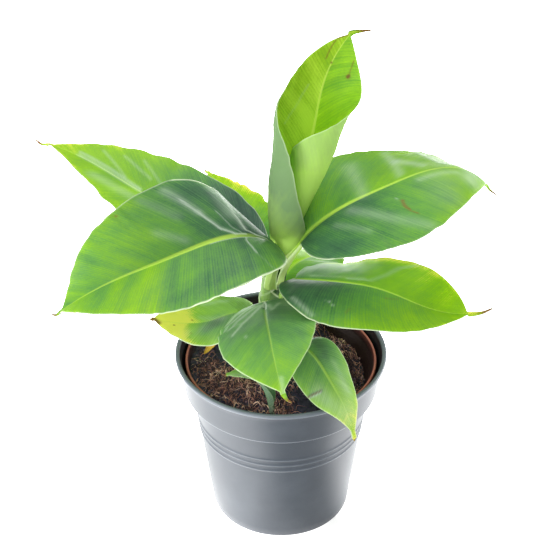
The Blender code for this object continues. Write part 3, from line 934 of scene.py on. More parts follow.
@dataclass
class Foliage:
    """All the plant's leaves: the rolled new one, nine open ones and the sucker's small one."""

    tissue: LeafTissue = LeafTissue()
    young: LeafTissue = LeafTissue(
        name="young_leaf_tissue", mid="#6aa030", fresh="#86b42a", lime="#a2c928", yellow="#d0ee4c",
        rib="#e2f074", under_shade="#8cab7c", under_light="#cdf07c", line_pitch=3.4, roughness=0.42,
        glow=0.5, contrast=0.29, line_share=0.25)
    seed: int = 40
    seed_gap: int = 10
    # A leaf shorter than this has fewer points across and closer rows
    small: float = 110.0
    small_cells: int = 30
    small_pitch: float = 0.75
    rolled_cells: int = 64

    def build(self) -> None:
        """Makes each leaf from its form and its look."""
        grown, young = self.tissue.material(), self.young.material()
        for number, (name, (form, look)) in enumerate(LEAVES.items()):
            rolled = name == "leaf_1_scroll"
            leaf = Leaf(name, form, look, self.seed + self.seed_gap * number, rolled)
            if form.length < self.small:
                leaf.half_cells, leaf.row_pitch = self.small_cells, self.small_pitch
            if rolled:
                leaf.half_cells = self.rolled_cells
            leaf.build(young if rolled else grown, "young_leaf" if rolled else "leaf_green")


LEAVES: dict[str, tuple[LeafForm, LeafLook]] = {
    "leaf_1_scroll": (
        LeafForm(
            base=(-2, 13, 240), foot=(-6, 3, 210), length=190, heading=(8, -4, -11),
            rise=(80, 73, 81, 55), roll=(98, 80, 105), half=(63, 67), swell=0.3, taper=0.78,
            fold=(5, -15, 10), fold_right=(3, -8, 6), curl=(8, 17, 20, 22, 23, 29),
            curl_right=(6.5, 10.5, 15.5, 21, 29, 43), sweep=(0, 22, -9), tail=16, tail_turn=(0, -62)),
        LeafLook(
            left=(0.78, 0.93, 0.99, 0.88, 0.85), right=(0.8, 0.88, 0.82, 0.64, 0.62), under=(0.1, 0.56),
            lean=(20, 42, 42), edge_tone=0.02, edge_line=0.6, ripple=0.3, pleat=0.3, pleat_pitch=4.5,
            swell=0.2, streak=0.06, rib_share=1.0, rib_half=1.8,
            marks={
                Kind.SCRATCH_AND_HIGHLIGHT: [(0.7, 0.22, (0.52, 0.42), (0.63, 0.33), (0.74, 0.27))],
                Kind.SCAR: [(0.5, 0.55, (0.96, 0.70), (0.93, 0.45), (0.87, 0.22)),
                    (0.7, 0.7, (0.86, 0.0), (0.862, 0.01)), (1.3, 0.9, (0.83, -0.50), (0.84, -0.53)),
                    (0.4, 0.5, (0.84, -0.54), (0.92, -0.78)), (0.7, 0.55, (0.97, 0.9), (0.995, 0.6))]},
            under_marks={
                Kind.DEEP_AND_SHADE: [(2.5, 0.9, (0.23, 0.83), (0.24, 0.92)),
                    (5.0, 0.6, (0.28, 0.66), (0.36, 0.70)), (4.0, 0.5, (0.34, 0.55), (0.4, 0.8))],
                Kind.LIME_AND_LIGHT: [(17.0, 3.0, (0.0, 0.2), (0.05, 0.9)), (14.0, 2.4, (0.1, -0.7), (0.28, -0.5)),
                    (18.0, 1.2, (0.2, -0.75), (0.4, -0.5)), (22.0, 0.9, (0.05, 0.5), (0.22, 0.6))]})),
    "leaf_2_right_upper": (
        LeafForm(
            base=(14.5, -7, 258), foot=(-2, -4, 219), length=165, heading=(-1, 7, 13),
            rise=(56, 28, 14, -53), roll=(26, 6, -11), half=(56, 56), swell=0.51, taper=0.86,
            fold=(22, -4, -7), curl=(-16, -25, -23), sweep=(0, 19, 13), tail=16, tail_turn=(-15, 3),
            tail_twist=80),
        LeafLook(
            left=(0.46, 0.48, 0.58, 0.62, 0.66), right=(0.15, 0.22, 0.37, 0.56, 0.68), lean=(24, 28, 30),
            ripple=0.4, rib_half=1.9,
            marks={
                Kind.SCAR: [(0.8, 0.8, (0.49, -0.37), (0.48, -0.47), (0.485, -0.55)),
                    (0.5, 0.45, (0.485, -0.57), (0.50, -0.67))],
                Kind.SCRATCH_AND_HIGHLIGHT: [(0.7, 0.7, (0.475, -0.31), (0.478, -0.30))],
                Kind.RIDGE: [(2.0, 0.8, (0.57, 0.92), (0.68, 0.55), (0.74, 0.3), (0.84, 0.08))],
                Kind.BLOOM_AND_SHEEN: [(5.0, 0.8, (0.62, 0.95), (0.74, 0.55), (0.8, 0.35)),
                    (3.5, 0.75, (0.50, 0.58), (0.58, 0.42), (0.66, 0.25)),
                    (3.6, 0.65, (0.43, 0.9), (0.50, 0.5), (0.55, 0.15)),
                    (2.6, 0.5, (0.62, -0.15), (0.80, -0.2)),
                    (4.5, 0.45, (0.29, -0.15), (0.40, -0.52), (0.50, -0.9)),
                    (3.0, 0.3, (0.2, -0.3), (0.3, -0.62)), (5.0, 0.5, (0.30, 0.68), (0.37, 0.05)),
                    (8.0, 0.9, (0.85, -0.5), (0.92, 0.4)), (16.0, 0.2, (0.68, -0.7), (0.78, 0.5))],
                Kind.RIM: [(0.8, 0.6, *margin_run(0.005, 0.12, -1.0))]})),
    "leaf_3_right_lower": (
        LeafForm(
            base=(11, -5, 222), foot=(-4, -4, 190), length=138, heading=(-22, -15, -10),
            rise=(13, 3, -20, 8), roll=(-18, -3, 10), half=(54, 52), swell=0.52, taper=0.61,
            fold=(18, 0, 30), curl=(-22, -24, -3), sweep=(-24, -21, -7), tail=20, tail_turn=(10, 15),
            tail_twist=20),
        LeafLook(
            left=(0.3, 0.45, 0.63, 0.73, 0.8), right=(0.0, 0.12, 0.45, 0.66, 0.76), lean=(25, 38, 40),
            lean_right=(10, 25, 38), ripple=0.4, streak=0.015, stalk_pale_vs_shade=0.3,
            marks={
                Kind.CREASE: [
                    (1.5, 0.75, (0.32, 0.14), (0.45, 0.17), (0.56, 0.42), (0.65, 0.72), (0.75, 0.98))],
                Kind.BLOOM_AND_SHEEN: [(2.2, 0.45, (0.10, 0.2), (0.28, 0.16), (0.42, 0.2)),
                    (5.0, 0.08, (0.08, 0.8), (0.22, 0.5), (0.40, 0.42)),
                    (2.2, 0.6, (0.20, -0.87), (0.34, -0.93)), (2.6, 0.12, (0.10, -0.5), (0.16, -0.8))],
                Kind.LIME_AND_LIGHT: [(8.0, 0.7, (0.25, 1.0), (0.6, 0.95))],
                Kind.SCAR: [(0.5, 0.35, (0.56, -0.20), (0.62, -0.10)),
                    (0.6, 0.35, (0.47, -0.72), (0.47, -0.62))],
                Kind.SCRATCH_AND_HIGHLIGHT: [(0.8, 0.8, (0.35, -0.57), (0.355, -0.58)),
                    (0.8, 0.7, (0.38, -0.62), (0.385, -0.62)), (0.5, 0.6, (0.33, -0.60), (0.333, -0.61))],
                Kind.RIM: [(0.6, 0.6, *margin_run(0.2, 0.75, -1.0))]})),
    "leaf_4_left_front": (
        LeafForm(
            base=(-5, -12, 260), foot=(-9, -6, 215), length=180, heading=(209, 201, 191),
            rise=(42, -7, -15, -35), roll=(4, -34, 5), half=(54, 54), swell=0.44, taper=1.03,
            fold=(6, 28, 8), curl=(-26, -9, -8), sweep=(-3, 25, 39), tail=7, tail_turn=(0, 25)),
        LeafLook(
            left=(0.36, 0.3, 0.36, 0.59, 0.5, 0.66), right=(0.02, 0.17, 0.36, 0.53, 0.53, 0.54),
            lean=(0, 4, 8), lean_right=(22, 25, 22), ragged=0.01, ripple=0.5, ripple_pitch=17.0,
            rib_half=2.4, rib_base=0.1, streak=0.07, pleat_pitch=8.5, haze_and_sheen=0.05, stalk_pale_vs_shade=0.4,
            marks={
                Kind.RIDGE: [(3.0, 0.5, (0.34, -0.88), (0.29, -0.45)),
                    (1.6, 0.5, (0.29, -0.45), (0.25, -0.16), (0.20, -0.04)),
                    (2.6, 0.6, (0.165, -0.8), (0.16, -0.5), (0.15, -0.15))],
                Kind.SCRATCH_AND_HIGHLIGHT: [
                    (0.6, 0.8, (0.32, -0.7), (0.28, -0.35), (0.25, -0.14), (0.2, -0.04), (0.15, -0.035)),
                    (0.5, 0.5, (0.23, -0.45), (0.2, -0.15), (0.17, -0.06)),
                    (0.5, 0.7, (0.02, 0.05), (0.08, 0.06), (0.2, 0.05), (0.32, 0.04)),
                    (0.7, 0.9, (0.165, -0.8), (0.16, -0.5), (0.145, -0.12), (0.1, -0.05), (0.04, -0.04)),
                    (0.6, 0.8, (0.16, 0.06), (0.17, 0.15), (0.16, 0.5))],
                Kind.RIM: [(0.6, 0.6, *margin_run(0.005, 0.3, -1.0)), (0.7, 0.9, *margin_run(0.005, 0.4)),
                    (0.5, 0.5, *margin_run(0.4, 0.7))],
                Kind.BLOOM_AND_SHEEN: [(5.0, 0.5, (0.18, -0.85), (0.18, -0.4)),
                    (3.5, 0.4, (0.46, -0.4), (0.4, -0.15)), (6.0, 0.35, (0.05, -0.4), (0.10, -0.7)),
                    (4.0, 0.3, (0.42, -0.9), (0.36, -0.5))],
                Kind.DEEP_AND_SHADE: [(3.0, 0.25, (0.21, -0.75), (0.205, -0.2))],
                Kind.CREASE: [(0.8, 0.3, (0.16, 0.52), (0.13, 0.87), (0.11, 1.0))],
                Kind.SCAR: [(0.7, 0.5, (0.52, -0.93), (0.523, -0.92))]})),
    "leaf_5_left_back": (
        LeafForm(
            base=(-17, 8, 233), foot=(-8, 3, 200), length=192, heading=(157, 157, 156),
            rise=(32, 14, 23, 6), roll=(5, -6, 9), half=(45, 45), swell=0.51, taper=1.0,
            fold=(13, 18, 11), curl=(-17, -10, -6), sweep=(-18, 8, 21), tail=14, tail_turn=(0, -5)),
        LeafLook(
            left=(0.3, 0.45, 0.6, 0.66, 0.74), right=(0.0, 0.08, 0.55, 0.7, 0.78), ragged=0.012,
            lean=(25, 30, 30), lean_right=(30, 42, 42), rib_half=1.4, ripple=0.9, ripple_pitch=26.0,
            pleat=0.4, haze_and_sheen=0.06,
            marks={
                Kind.RIDGE: [(1.6, 0.4, (0.77, -0.68), (0.65, -0.13)),
                    (1.6, 0.4, (0.68, -0.68), (0.55, -0.37)), (1.6, 0.35, (0.60, -0.72), (0.48, -0.3))],
                Kind.BLOOM_AND_SHEEN: [(2.2, 0.8, (0.86, -0.05), (0.70, 0.0), (0.57, 0.0)),
                    (1.6, 0.7, (0.86, -0.3), (0.70, -0.12), (0.57, -0.05)),
                    (6.0, 0.5, (0.72, 0.6), (0.5, 0.3))]})),
    "leaf_6_back_left": (
        LeafForm(
            base=(-13, 28, 217), foot=(-11.5, 5.5, 190), length=98, heading=(121, 122, 124),
            rise=(50, 31, 13, 9), roll=(0, 3, 5), half=(28, 28), swell=0.47, taper=1.0, fold=(15, 6, 3),
            curl=(-15, -16, -12), sweep=(-25, 14, 22), stalk=(2.4, 3.8), tail=6),
        LeafLook(
            left=(0.3, 0.55, 0.75, 0.85), right=(0.0, 0.48, 0.86, 0.88), ripple=1.0, ripple_pitch=13.0,
            ragged=0.012, haze_and_sheen=0.0)),
    "leaf_7_back_right": (
        LeafForm(
            base=(0, 14, 207), foot=(-5, 4, 180), length=75, heading=(51, 53, 57),
            rise=(43, -6, -20, -14), roll=(-6, -5, -10), half=(32, 29), swell=0.4, taper=0.8,
            fold=(12, 4, 5), curl=(-16, -16, -10), sweep=(-15, 14, 25), stalk=(2.2, 3.4), tail=6),
        LeafLook(
            left=(0.56, 0.68, 0.74, 0.72), right=(0.46, 0.46, 0.52, 0.62), haze_and_sheen=0.0, edge_line=0.1,
            rib_share=0.4, stalk_pale_vs_shade=0.5,
            marks={
                Kind.SCAR: [(3.0, 0.5, (0.9, -0.9), (0.97, 0.0))]})),
    "leaf_8_low_left": (
        LeafForm(
            base=(-19, -6, 191), foot=(-9, -3, 165), length=84, heading=(192, 192, 191),
            rise=(24, -16, 9, 24), roll=(0, -9, -8), half=(26, 26), swell=0.52, taper=0.9, fold=(2, 7, 7),
            curl=(-24, -19, -9), sweep=(-22, 10, 20), stalk=(2.2, 3.4), tail=3),
        LeafLook(
            left=(0.5, 0.4, 0.44, 0.76, 1.4, 1.8), right=(0.62, 0.68, 0.72, 0.97, 1.5, 1.8),
            lean=(25, 30, 30), edge_line=0.6, rib_share=0.3, rib_half=1.2, haze_and_sheen=0.34,
            marks={
                Kind.SCAR: [(2.4, 1.0, (0.95, 0.8), (1.0, 0.3), (1.0, 0.0)),
                    (0.6, 0.9, (0.79, 0.22), (0.793, 0.23)), (0.6, 0.9, (0.61, -0.15), (0.613, -0.14)),
                    (0.5, 0.8, (0.62, 0.52), (0.623, 0.53))],
                Kind.BLOOM_AND_SHEEN: [(2.6, 0.6, (0.47, -0.83), (0.36, -0.72), (0.27, -0.65)),
                    (3.0, 0.35, (0.52, -0.2), (0.34, 0.1)), (6.0, 0.35, (0.52, 0.3), (0.62, 0.5))],
                Kind.DEEP_AND_SHADE: [(6.0, 1.0, (0.38, 0.12), (0.5, 0.35))],
                Kind.RIM: [(0.6, 0.6, *margin_run(0.2, 0.8))]})),
    "leaf_9_front": (
        LeafForm(
            base=(-13, -16, 208), foot=(-9, -5, 176), length=102, heading=(271, 278, 288),
            rise=(7, 9, -24, -29), roll=(14, 19, 21), half=(39, 42), swell=0.53, taper=1.09,
            fold=(4, 6, 12), fold_right=(2, 3, 8), curl=(-28, -19, -6), curl_right=(-31, -21, -8),
            sweep=(-26, 9, 11), stalk=(2.4, 3.8), tail=10, tail_turn=(60, 10)),
        LeafLook(
            left=(0.14, 0.26, 0.36, 0.48, 0.56), right=(0.31, 0.34, 0.39, 0.46, 0.68), edge_line=0.4,
            lean=(30, 35, 35), rib_share=0.4, rib_half=1.1, rib_base=0.0, ripple=0.9, ripple_pitch=15.0,
            haze_and_sheen=0.14,
            marks={
                Kind.DEEP_AND_SHADE: [(1.5, 1.8, (0.0, 0.0), (0.1, 0.0))],
                Kind.SCRATCH_AND_HIGHLIGHT: [(0.6, 0.9, (0.0, -0.07), (0.03, -0.06), (0.08, -0.03)),
                    (0.6, 0.9, (0.0, 0.08), (0.05, 0.06), (0.12, 0.03)),
                    (0.7, 0.4, (0.40, -0.45), (0.43, -0.42))],
                Kind.RIM: [(0.7, 0.8, *margin_run(0.001, 0.2)), (0.5, 0.5, *margin_run(0.3, 0.95, -1.0)),
                    (2.0, 0.25, (0.88, 0.2), (1.0, 0.0))],
                Kind.BLOOM_AND_SHEEN: [(1.6, 1.0, (0.16, -0.93), (0.09, -0.83), (0.05, -0.55)),
                    (1.4, 1.0, (0.32, -0.67), (0.18, -0.30), (0.05, -0.07)),
                    (1.2, 0.8, (0.24, -0.75), (0.14, -0.45), (0.05, -0.2)),
                    (0.9, 0.8, (0.22, -0.9), (0.12, -0.6), (0.05, -0.35)),
                    (1.8, 0.7, (0.08, 0.12), (0.17, 0.17), (0.12, 0.35)),
                    (5.0, 0.35, (0.1, 0.5), (0.2, 0.6))]})),
    "leaf_10_front_right": (
        LeafForm(
            base=(15, -25, 173.5), foot=(-6, -6, 150), length=92, heading=(305, 301, 297),
            rise=(16, -24, -28, -68), roll=(-2, -3, -6), half=(25, 25), swell=0.45, taper=1.27,
            fold=(16, -6, 6), curl=(-19, -25, -10), sweep=(-18, 21, 14), stalk=(2.2, 3.4), tail=3),
        LeafLook(
            left=(0.12, 0.38, 0.64, 0.8, 0.88), right=(0.28, 0.36, 0.58, 0.82, 0.9), edge_line=0.6,
            lean=(25, 32, 32), rib_share=0.5, rib_half=1.4, ripple=0.3, haze_and_sheen=0.15,
            marks={
                Kind.DEEP_AND_SHADE: [(1.0, 1.6, (0.44, -0.98), (0.45, -0.80), (0.48, -0.5)),
                    (5.0, 0.4, (0.08, 0.6), (0.2, 0.4))],
                Kind.SCAR: [(0.7, 0.4, (0.44, -1.0), (0.45, -0.80), (0.48, -0.47))],
                Kind.SCRATCH_AND_HIGHLIGHT: [(0.6, 0.5, (0.45, -0.95), (0.475, -0.70), (0.485, -0.52))],
                Kind.BLOOM_AND_SHEEN: [(3.0, 0.35, (0.3, 0.5), (0.55, 0.6)), (7.0, 0.6, (0.48, -0.6), (0.85, -0.3)),
                    (6.0, 0.45, (0.5, 0.4), (0.75, 0.4))]})),
    "sucker_leaf": (
        LeafForm(
            base=(-7, -63, 143), foot=(-7, -64, 136.9), length=50, heading=(140, 165, 185),
            rise=(80, 58, 14, -6), roll=(30, 20, 5), half=(11, 11), swell=0.7, taper=0.9,
            fold=(30, 12, 5), curl=(20, 0, 0), sweep=(10, 15, 20), stalk=(1.6, 2.6), tail=2),
        LeafLook(
            left=(0.12, 0.3, 0.5, 0.6), right=(0.12, 0.26, 0.46, 0.6), edge_line=0.2, rib_share=0.1,
            ripple=0.1, ragged=0.0, stalk_pale_vs_shade=0.05, under_share=0.08, under=(0.16, 0.16), haze_and_sheen=0.12,
            marks={
                Kind.BLOOM_AND_SHEEN: [(5.0, 0.5, (0.5, 0.1), (0.9, 0.2))]},
            under_marks={
                Kind.BLOOM_AND_SHEEN: [(9.0, 0.5, (0.0, 0.0), (0.7, 0.0))]})),
}


@dataclass
class Pseudostem:
    """The stem of wrapped leaf sheaths: a leaning taper with an edge where each sheath laps the next."""

    centres: tuple[Spot, ...] = ((-9.0, -4.0), (-8.5, -2.0), (-7.0, 1.0), (-3.5, 5.0))
    top: float = 239.7
    radii: Angles = (13.0, 10.4, 9.4, 9.0)
    rows: int = 170
    sides: int = 128
    sunk: float = 4.0
    crown: float = 3.5
    lap: float = 0.75
    # Direction that each leaf leaves in and the height where its sheath opens, from the outside in
    sheaths: tuple[Pair, ...] = (
        (305.0, 160.0), (192.0, 172.0), (51.0, 186.0), (271.0, 186.0), (121.0, 197.0), (338.0, 203.0),
        (157.0, 211.0), (209.0, 226.0), (0.0, 232.0))
    sheath_drop: float = 30.0
    sunny_side: float = 184.0
    drop_power: float = 0.7
    dry_foot: Pair = (2.0, 26.0)
    dry_share: float = 0.7
    # How far below a sheath's brim its light line lies, and the square of that line's half width
    edge_drop: float = 0.5
    edge_spread: float = 0.4
    # How far above a brim the shade on the sheath inside it lies, and its half width
    shade_rise: float = 2.0
    shade_width: float = 2.2
    unevenness: float = 0.12

    def build(self, material: Material) -> Piece:
        """Makes the stem as a lathe whose radius steps out under each sheath's slanting edge.

        A sheath's edge starts at its leaf and falls to the far side of the stem by the drop times a
        power of the share of the way round, and the sheaths outside it cover it.  Its thickness is
        spread round so that the mean radius stays the driving one.

        Args:
            material: the sheaths' finish.

        Returns:
            The finished object.
        """
        t = np.linspace(0, 1, self.rows)
        heights = SOIL_TOP + (self.top - SOIL_TOP) * t
        x, y = np.array(self.centres).T
        turn = np.linspace(0, 2 * math.pi, self.sides, endpoint=False)
        radius = along(self.radii, t)[:, None] + 0 * turn
        edge, young, shade = np.zeros((3, *radius.shape))
        bare = np.ones_like(radius)
        for direction, top in self.sheaths:
            away = np.abs((turn - math.radians(direction) + math.pi) % (2 * math.pi) - math.pi) / math.pi
            brim = (top - self.sheath_drop * away**self.drop_power)[None, :]
            gap = brim - heights[:, None]
            cover = step(-self.edge_drop, self.edge_drop, gap)
            radius = radius + self.lap * (cover - cover.mean(1, keepdims=True))
            edge = edge + np.exp(-((gap - self.edge_drop) ** 2) / self.edge_spread) * bare
            shade = shade + np.exp(-(((gap + self.shade_rise) / self.shade_width) ** 2)) * bare
            bare = bare * (1 - cover)
            young = young + cover
        radius = radius + self.unevenness * noise(turn[None, :] * 14, heights[:, None] / 24, 5)
        centre = np.stack([along(tuple(x), t), along(tuple(y), t), heights], -1)
        rings = centre[:, None] + radius[..., None] * circle(self.sides)
        foot = rings[:1] - (0, 0, self.sunk)
        close = np.linspace(0.92, 0.08, 6)
        crown = [centre[-1] + (rings[-1] - centre[-1]) * s + (0, 0, self.crown * (1 - s * s)) for s in close]
        rings = np.concatenate([foot, rings, np.array(crown)])
        points, faces = capped(rings, np.array([rings[0].mean(0), rings[-1].mean(0)]))

        def spread(values: Array) -> Array:
            """A field of the wall, carried over the foot, the crown and the two hubs."""
            whole = np.concatenate([values[:1], values, np.repeat(values[-1:], len(close), 0)])
            return np.concatenate([whole.ravel(), [whole[0, 0], whole[-1, 0]]])

        # Painted light on the sunny side, painted shade on the far side and above each sheath's brim
        sunned = 0.5 * np.cos(turn - math.radians(self.sunny_side))[None, :]
        tone = 0.26 + sunned - 0.02 * young - 0.5 * shade
        tone = tone + 0.15 * noise(turn[None, :] * 3, heights[:, None] / 16, 8)
        dry = (1 - step(*self.dry_foot, heights - SOIL_TOP))[:, None] * (self.dry_share + 0 * radius)
        way = turn[None, :] * along(self.radii, t)[:, None]
        return Surface(
            points=points, faces=faces,
            spots=np.stack([spread(way), spread(heights[:, None] + 0 * radius)], -1) * CM_PER_MM,
            masks={"tone": spread(tone), "margin": spread(np.clip(0.7 * edge, 0, 0.8)), "dry": spread(dry)},
        ).piece("pseudostem", material, "stem_sheath", ("pseudostem",))


def turned(outline: Array, worn: Array, inside_shade: Array, sides: int) -> Surface:
    """A shape turned about Z from a closed outline of (radius, height) pairs that runs up its outside.

    Args:
        outline: the outline's points in order, not repeating the first.
        worn: how much paler each is, from being worn and from painted highlight.
        inside_shade: how far each lies in the dark inside, as painted shade.
        sides: number of points round.

    Returns:
        The surface, with the masks that the plastic's finish reads.
    """
    points = outline[:, None, :1] * circle(sides) + outline[:, None, 1:] * (0, 0, 1)
    faces = grid_faces(len(outline) + 1, sides) % (len(outline) * sides)
    masks = {"margin": np.repeat(worn, sides), "inside": np.repeat(inside_shade, sides)}
    return Surface(points.reshape(-1, 3), [faces], masks=masks)


def arc(centre: Spot, radius: float, start: float, end: float, count: int) -> Array:
    """Points of a profile's round corner, from one angle to another in degrees."""
    turn = np.radians(np.linspace(start, end, count))
    return np.stack([centre[0] + radius * np.cos(turn), centre[1] + radius * np.sin(turn)], -1)


@dataclass
class OuterPot:
    """The grow pot: rolled rim, collar, step, tapering body with three raised ridges, flat floor."""

    rim_radius: float = 85.0
    height: float = 150.5
    rim: float = 3.8
    undercut: float = 2.0
    collar_radius: float = 78.5
    collar_bottom: float = 118.0
    collar_flare: float = 2.6
    ledge: float = 2.0
    body_top_radius: float = 71.5
    foot_radius: float = 57.0
    foot_corner: float = 2.0
    wall: float = 2.6
    floor: float = 3.0
    ridges: Angles = (80.0, 86.0, 92.0)
    ridge_rise: float = 0.75
    ridge_width: float = 1.1
    ridge_zone: float = 4.0
    sides: int = 256

    def profile(self) -> tuple[Array, Array, Array]:
        """The wall's closed outline, the paleness of each point from being worn and from painted highlight,
        and which lie inside.

        The body is a straight taper on which each ridge is a bell-shaped swelling; arcs round the
        foot, the ledge under the collar, the rolled rim and the edges inside.

        Returns:
            The outline's points, the paleness at each from being worn and from painted highlight, and 1
            where it is inside the pot, in painted shade.
        """
        slope = (self.body_top_radius - self.foot_radius) / self.collar_bottom
        ledge_height = self.collar_bottom - self.ledge
        low, high = self.ridges[0] - self.ridge_zone, self.ridges[-1] + self.ridge_zone
        z = np.concatenate([np.linspace(self.foot_corner + 0.2, low, 12), np.linspace(low + 0.3, high, 66),
                            np.linspace(high + 1, ledge_height - 1.5, 5)])
        swell = sum(np.exp(-(((z - h) / self.ridge_width) ** 2)) for h in self.ridges)
        body = np.stack([self.foot_radius + slope * z + self.ridge_rise * swell, z], -1)
        foot = arc((self.foot_radius - self.foot_corner, self.foot_corner), self.foot_corner, -90, -8, 6)
        inner_corner = arc((self.body_top_radius + 1.0, ledge_height - 0.2), 1.0, 180, 90, 5)
        outer_corner = arc((self.collar_radius - 1.3, self.collar_bottom + 0.9), 1.1, -75, -8, 6)
        rim_radius = self.rim / 2
        collar_top = self.height - self.rim - self.ledge / 2
        tapered = np.linspace(0, 1, 8)
        collar = np.stack([self.collar_radius - 0.1 + self.collar_flare * tapered,
                           self.collar_bottom + 1.4 + (collar_top - 3.4 - self.collar_bottom) * tapered], -1)
        under_rim = np.array([(self.collar_radius + self.collar_flare + 0.4, collar_top - 1.0),
                              (self.rim_radius - self.undercut, collar_top)])
        rim = arc((self.rim_radius - rim_radius, self.height - rim_radius), rim_radius, -25, 180, 18)
        inside = np.array([
            (self.rim_radius - self.rim, self.height - self.rim),
            (self.collar_radius + 1.2, collar_top - 2.4),
            (self.collar_radius - self.wall, self.collar_bottom + 2),
            (self.collar_radius - self.wall - 1, self.collar_bottom),
            (self.body_top_radius - self.wall, self.collar_bottom - self.ledge),
            (self.foot_radius - self.wall + 1.0, self.floor + 4),
            (self.foot_radius - self.wall - 1.5, self.floor + 0.6),
            (self.foot_radius - self.wall - 5, self.floor), (6.0, self.floor), (1.0, self.floor)])
        below = np.array([(1.0, 0.0), (self.foot_radius - 8, 0.0)])
        parts = [foot, body, inner_corner, outer_corner, collar, under_rim, rim, inside, below]
        # Paler rim, ledge and foot, worn and painted with highlight; the ridges paler by their swelling
        wear_and_highlight = [0.2, 0.0, 0.0, 0.6, 0.0, 0.0, 0.6, 0.0, 0.0]
        worn = np.concatenate([np.full(len(part), share) for part, share in zip(parts, wear_and_highlight)])
        worn[len(foot):len(foot) + len(body)] = 0.35 * swell
        # The inside wall takes the painted shade in full
        inside_shade = np.concatenate([np.full(len(part), float(part is inside)) for part in parts])
        return np.concatenate(parts), worn, inside_shade

    def build(self, material: Material) -> Piece:
        """Turns the outline about Z and makes the piece."""
        return turned(*self.profile(), self.sides).piece(
            "outer_pot", material, "anthracite_plastic", ("outer_pot",))


@dataclass
class InnerPot:
    """The thin nursery pot that holds the root ball, flared above its shoulder to a small lip."""

    rim_radius: float = 77.0
    top: float = 143.0
    lip: float = 2.2
    lip_height: float = 7.0
    lip_draft: float = 0.6
    shoulder: float = 119.0
    shoulder_radius: float = 67.4
    foot_radius: float = 52.0
    wall: float = 1.8
    bottom: float = 3.3
    ring_rise: float = 0.12
    rings: Angles = (123.0, 127.0, 131.0)
    sides: int = 224

    def inner_radius(self, height: Array) -> Array:
        """The pot's inside radius at a height.

        Args:
            height: one height, or an array of them.

        Returns:
            A radius for each.
        """
        lip = self.rim_radius - self.lip
        heights = (self.bottom + self.wall, self.shoulder, self.top - self.lip_height, self.top)
        radii = (self.foot_radius - self.wall, self.shoulder_radius - self.wall, lip - self.lip_draft, lip)
        return np.interp(height, heights, radii)

    def build(self, material: Material) -> Piece:
        """Turns the outline about Z: a plain taper outside, a rolled lip, and faint rings inside.

        Args:
            material: its finish.

        Returns:
            The finished object.
        """
        lip_bottom = self.top - self.lip_height
        corner = self.lip / 2
        outside = np.array([(1.0, self.bottom), (self.foot_radius - 1, self.bottom),
                            (self.foot_radius, self.bottom + 1), (self.shoulder_radius, self.shoulder),
                            (self.shoulder_radius + 1.2, self.shoulder + 1.5),
                            (self.rim_radius - self.lip + self.wall / 2, lip_bottom - self.wall / 2),
                            (self.rim_radius - 0.6, lip_bottom), (self.rim_radius, lip_bottom + 0.6)])
        lip = arc((self.rim_radius - corner, self.top - corner), corner, 0, 180, 14)
        z = np.linspace(lip_bottom + 1, self.shoulder + 1, 60)
        ring = sum(np.exp(-(((z - h) / 0.7) ** 2)) for h in self.rings)
        flare = np.stack([self.inner_radius(z) - self.ring_rise * ring, z], -1)
        floor = self.bottom + self.wall
        low = np.array([(float(self.inner_radius(floor)), floor), (1.0, floor)])
        outline = np.concatenate([outside, lip, flare, low])
        worn, inside_shade = np.zeros((2, len(outline)))
        rolled = slice(len(outside), len(outside) + len(lip))
        over = np.linspace(0, 180, len(lip))
        # A paler band on the lip's top, worn and painted with highlight
        worn[rolled] = np.exp(-(((over - 80) / 50) ** 2))
        # Painted shade on the lip's inner half and over the whole inside
        inside_shade[rolled] = 0.6 * step(110, 180, over)
        inside_shade[rolled.stop:] = 0.95
        return turned(outline, worn, inside_shade, self.sides).piece(
            "inner_pot", material, "terracotta_plastic", ("inner_pot",))


@dataclass(frozen=True)
class Strands:
    """One kind of loose fibre: how many, how long and thick, how curly, and how high they arch."""

    name: str
    count: int
    length: Pair
    radius: Pair
    curl: float
    arch: float
    squash: float = 1.0
    over_lip: float = 0.0
    light: float = 1.5
    points: int = 8
    sides: int = 4


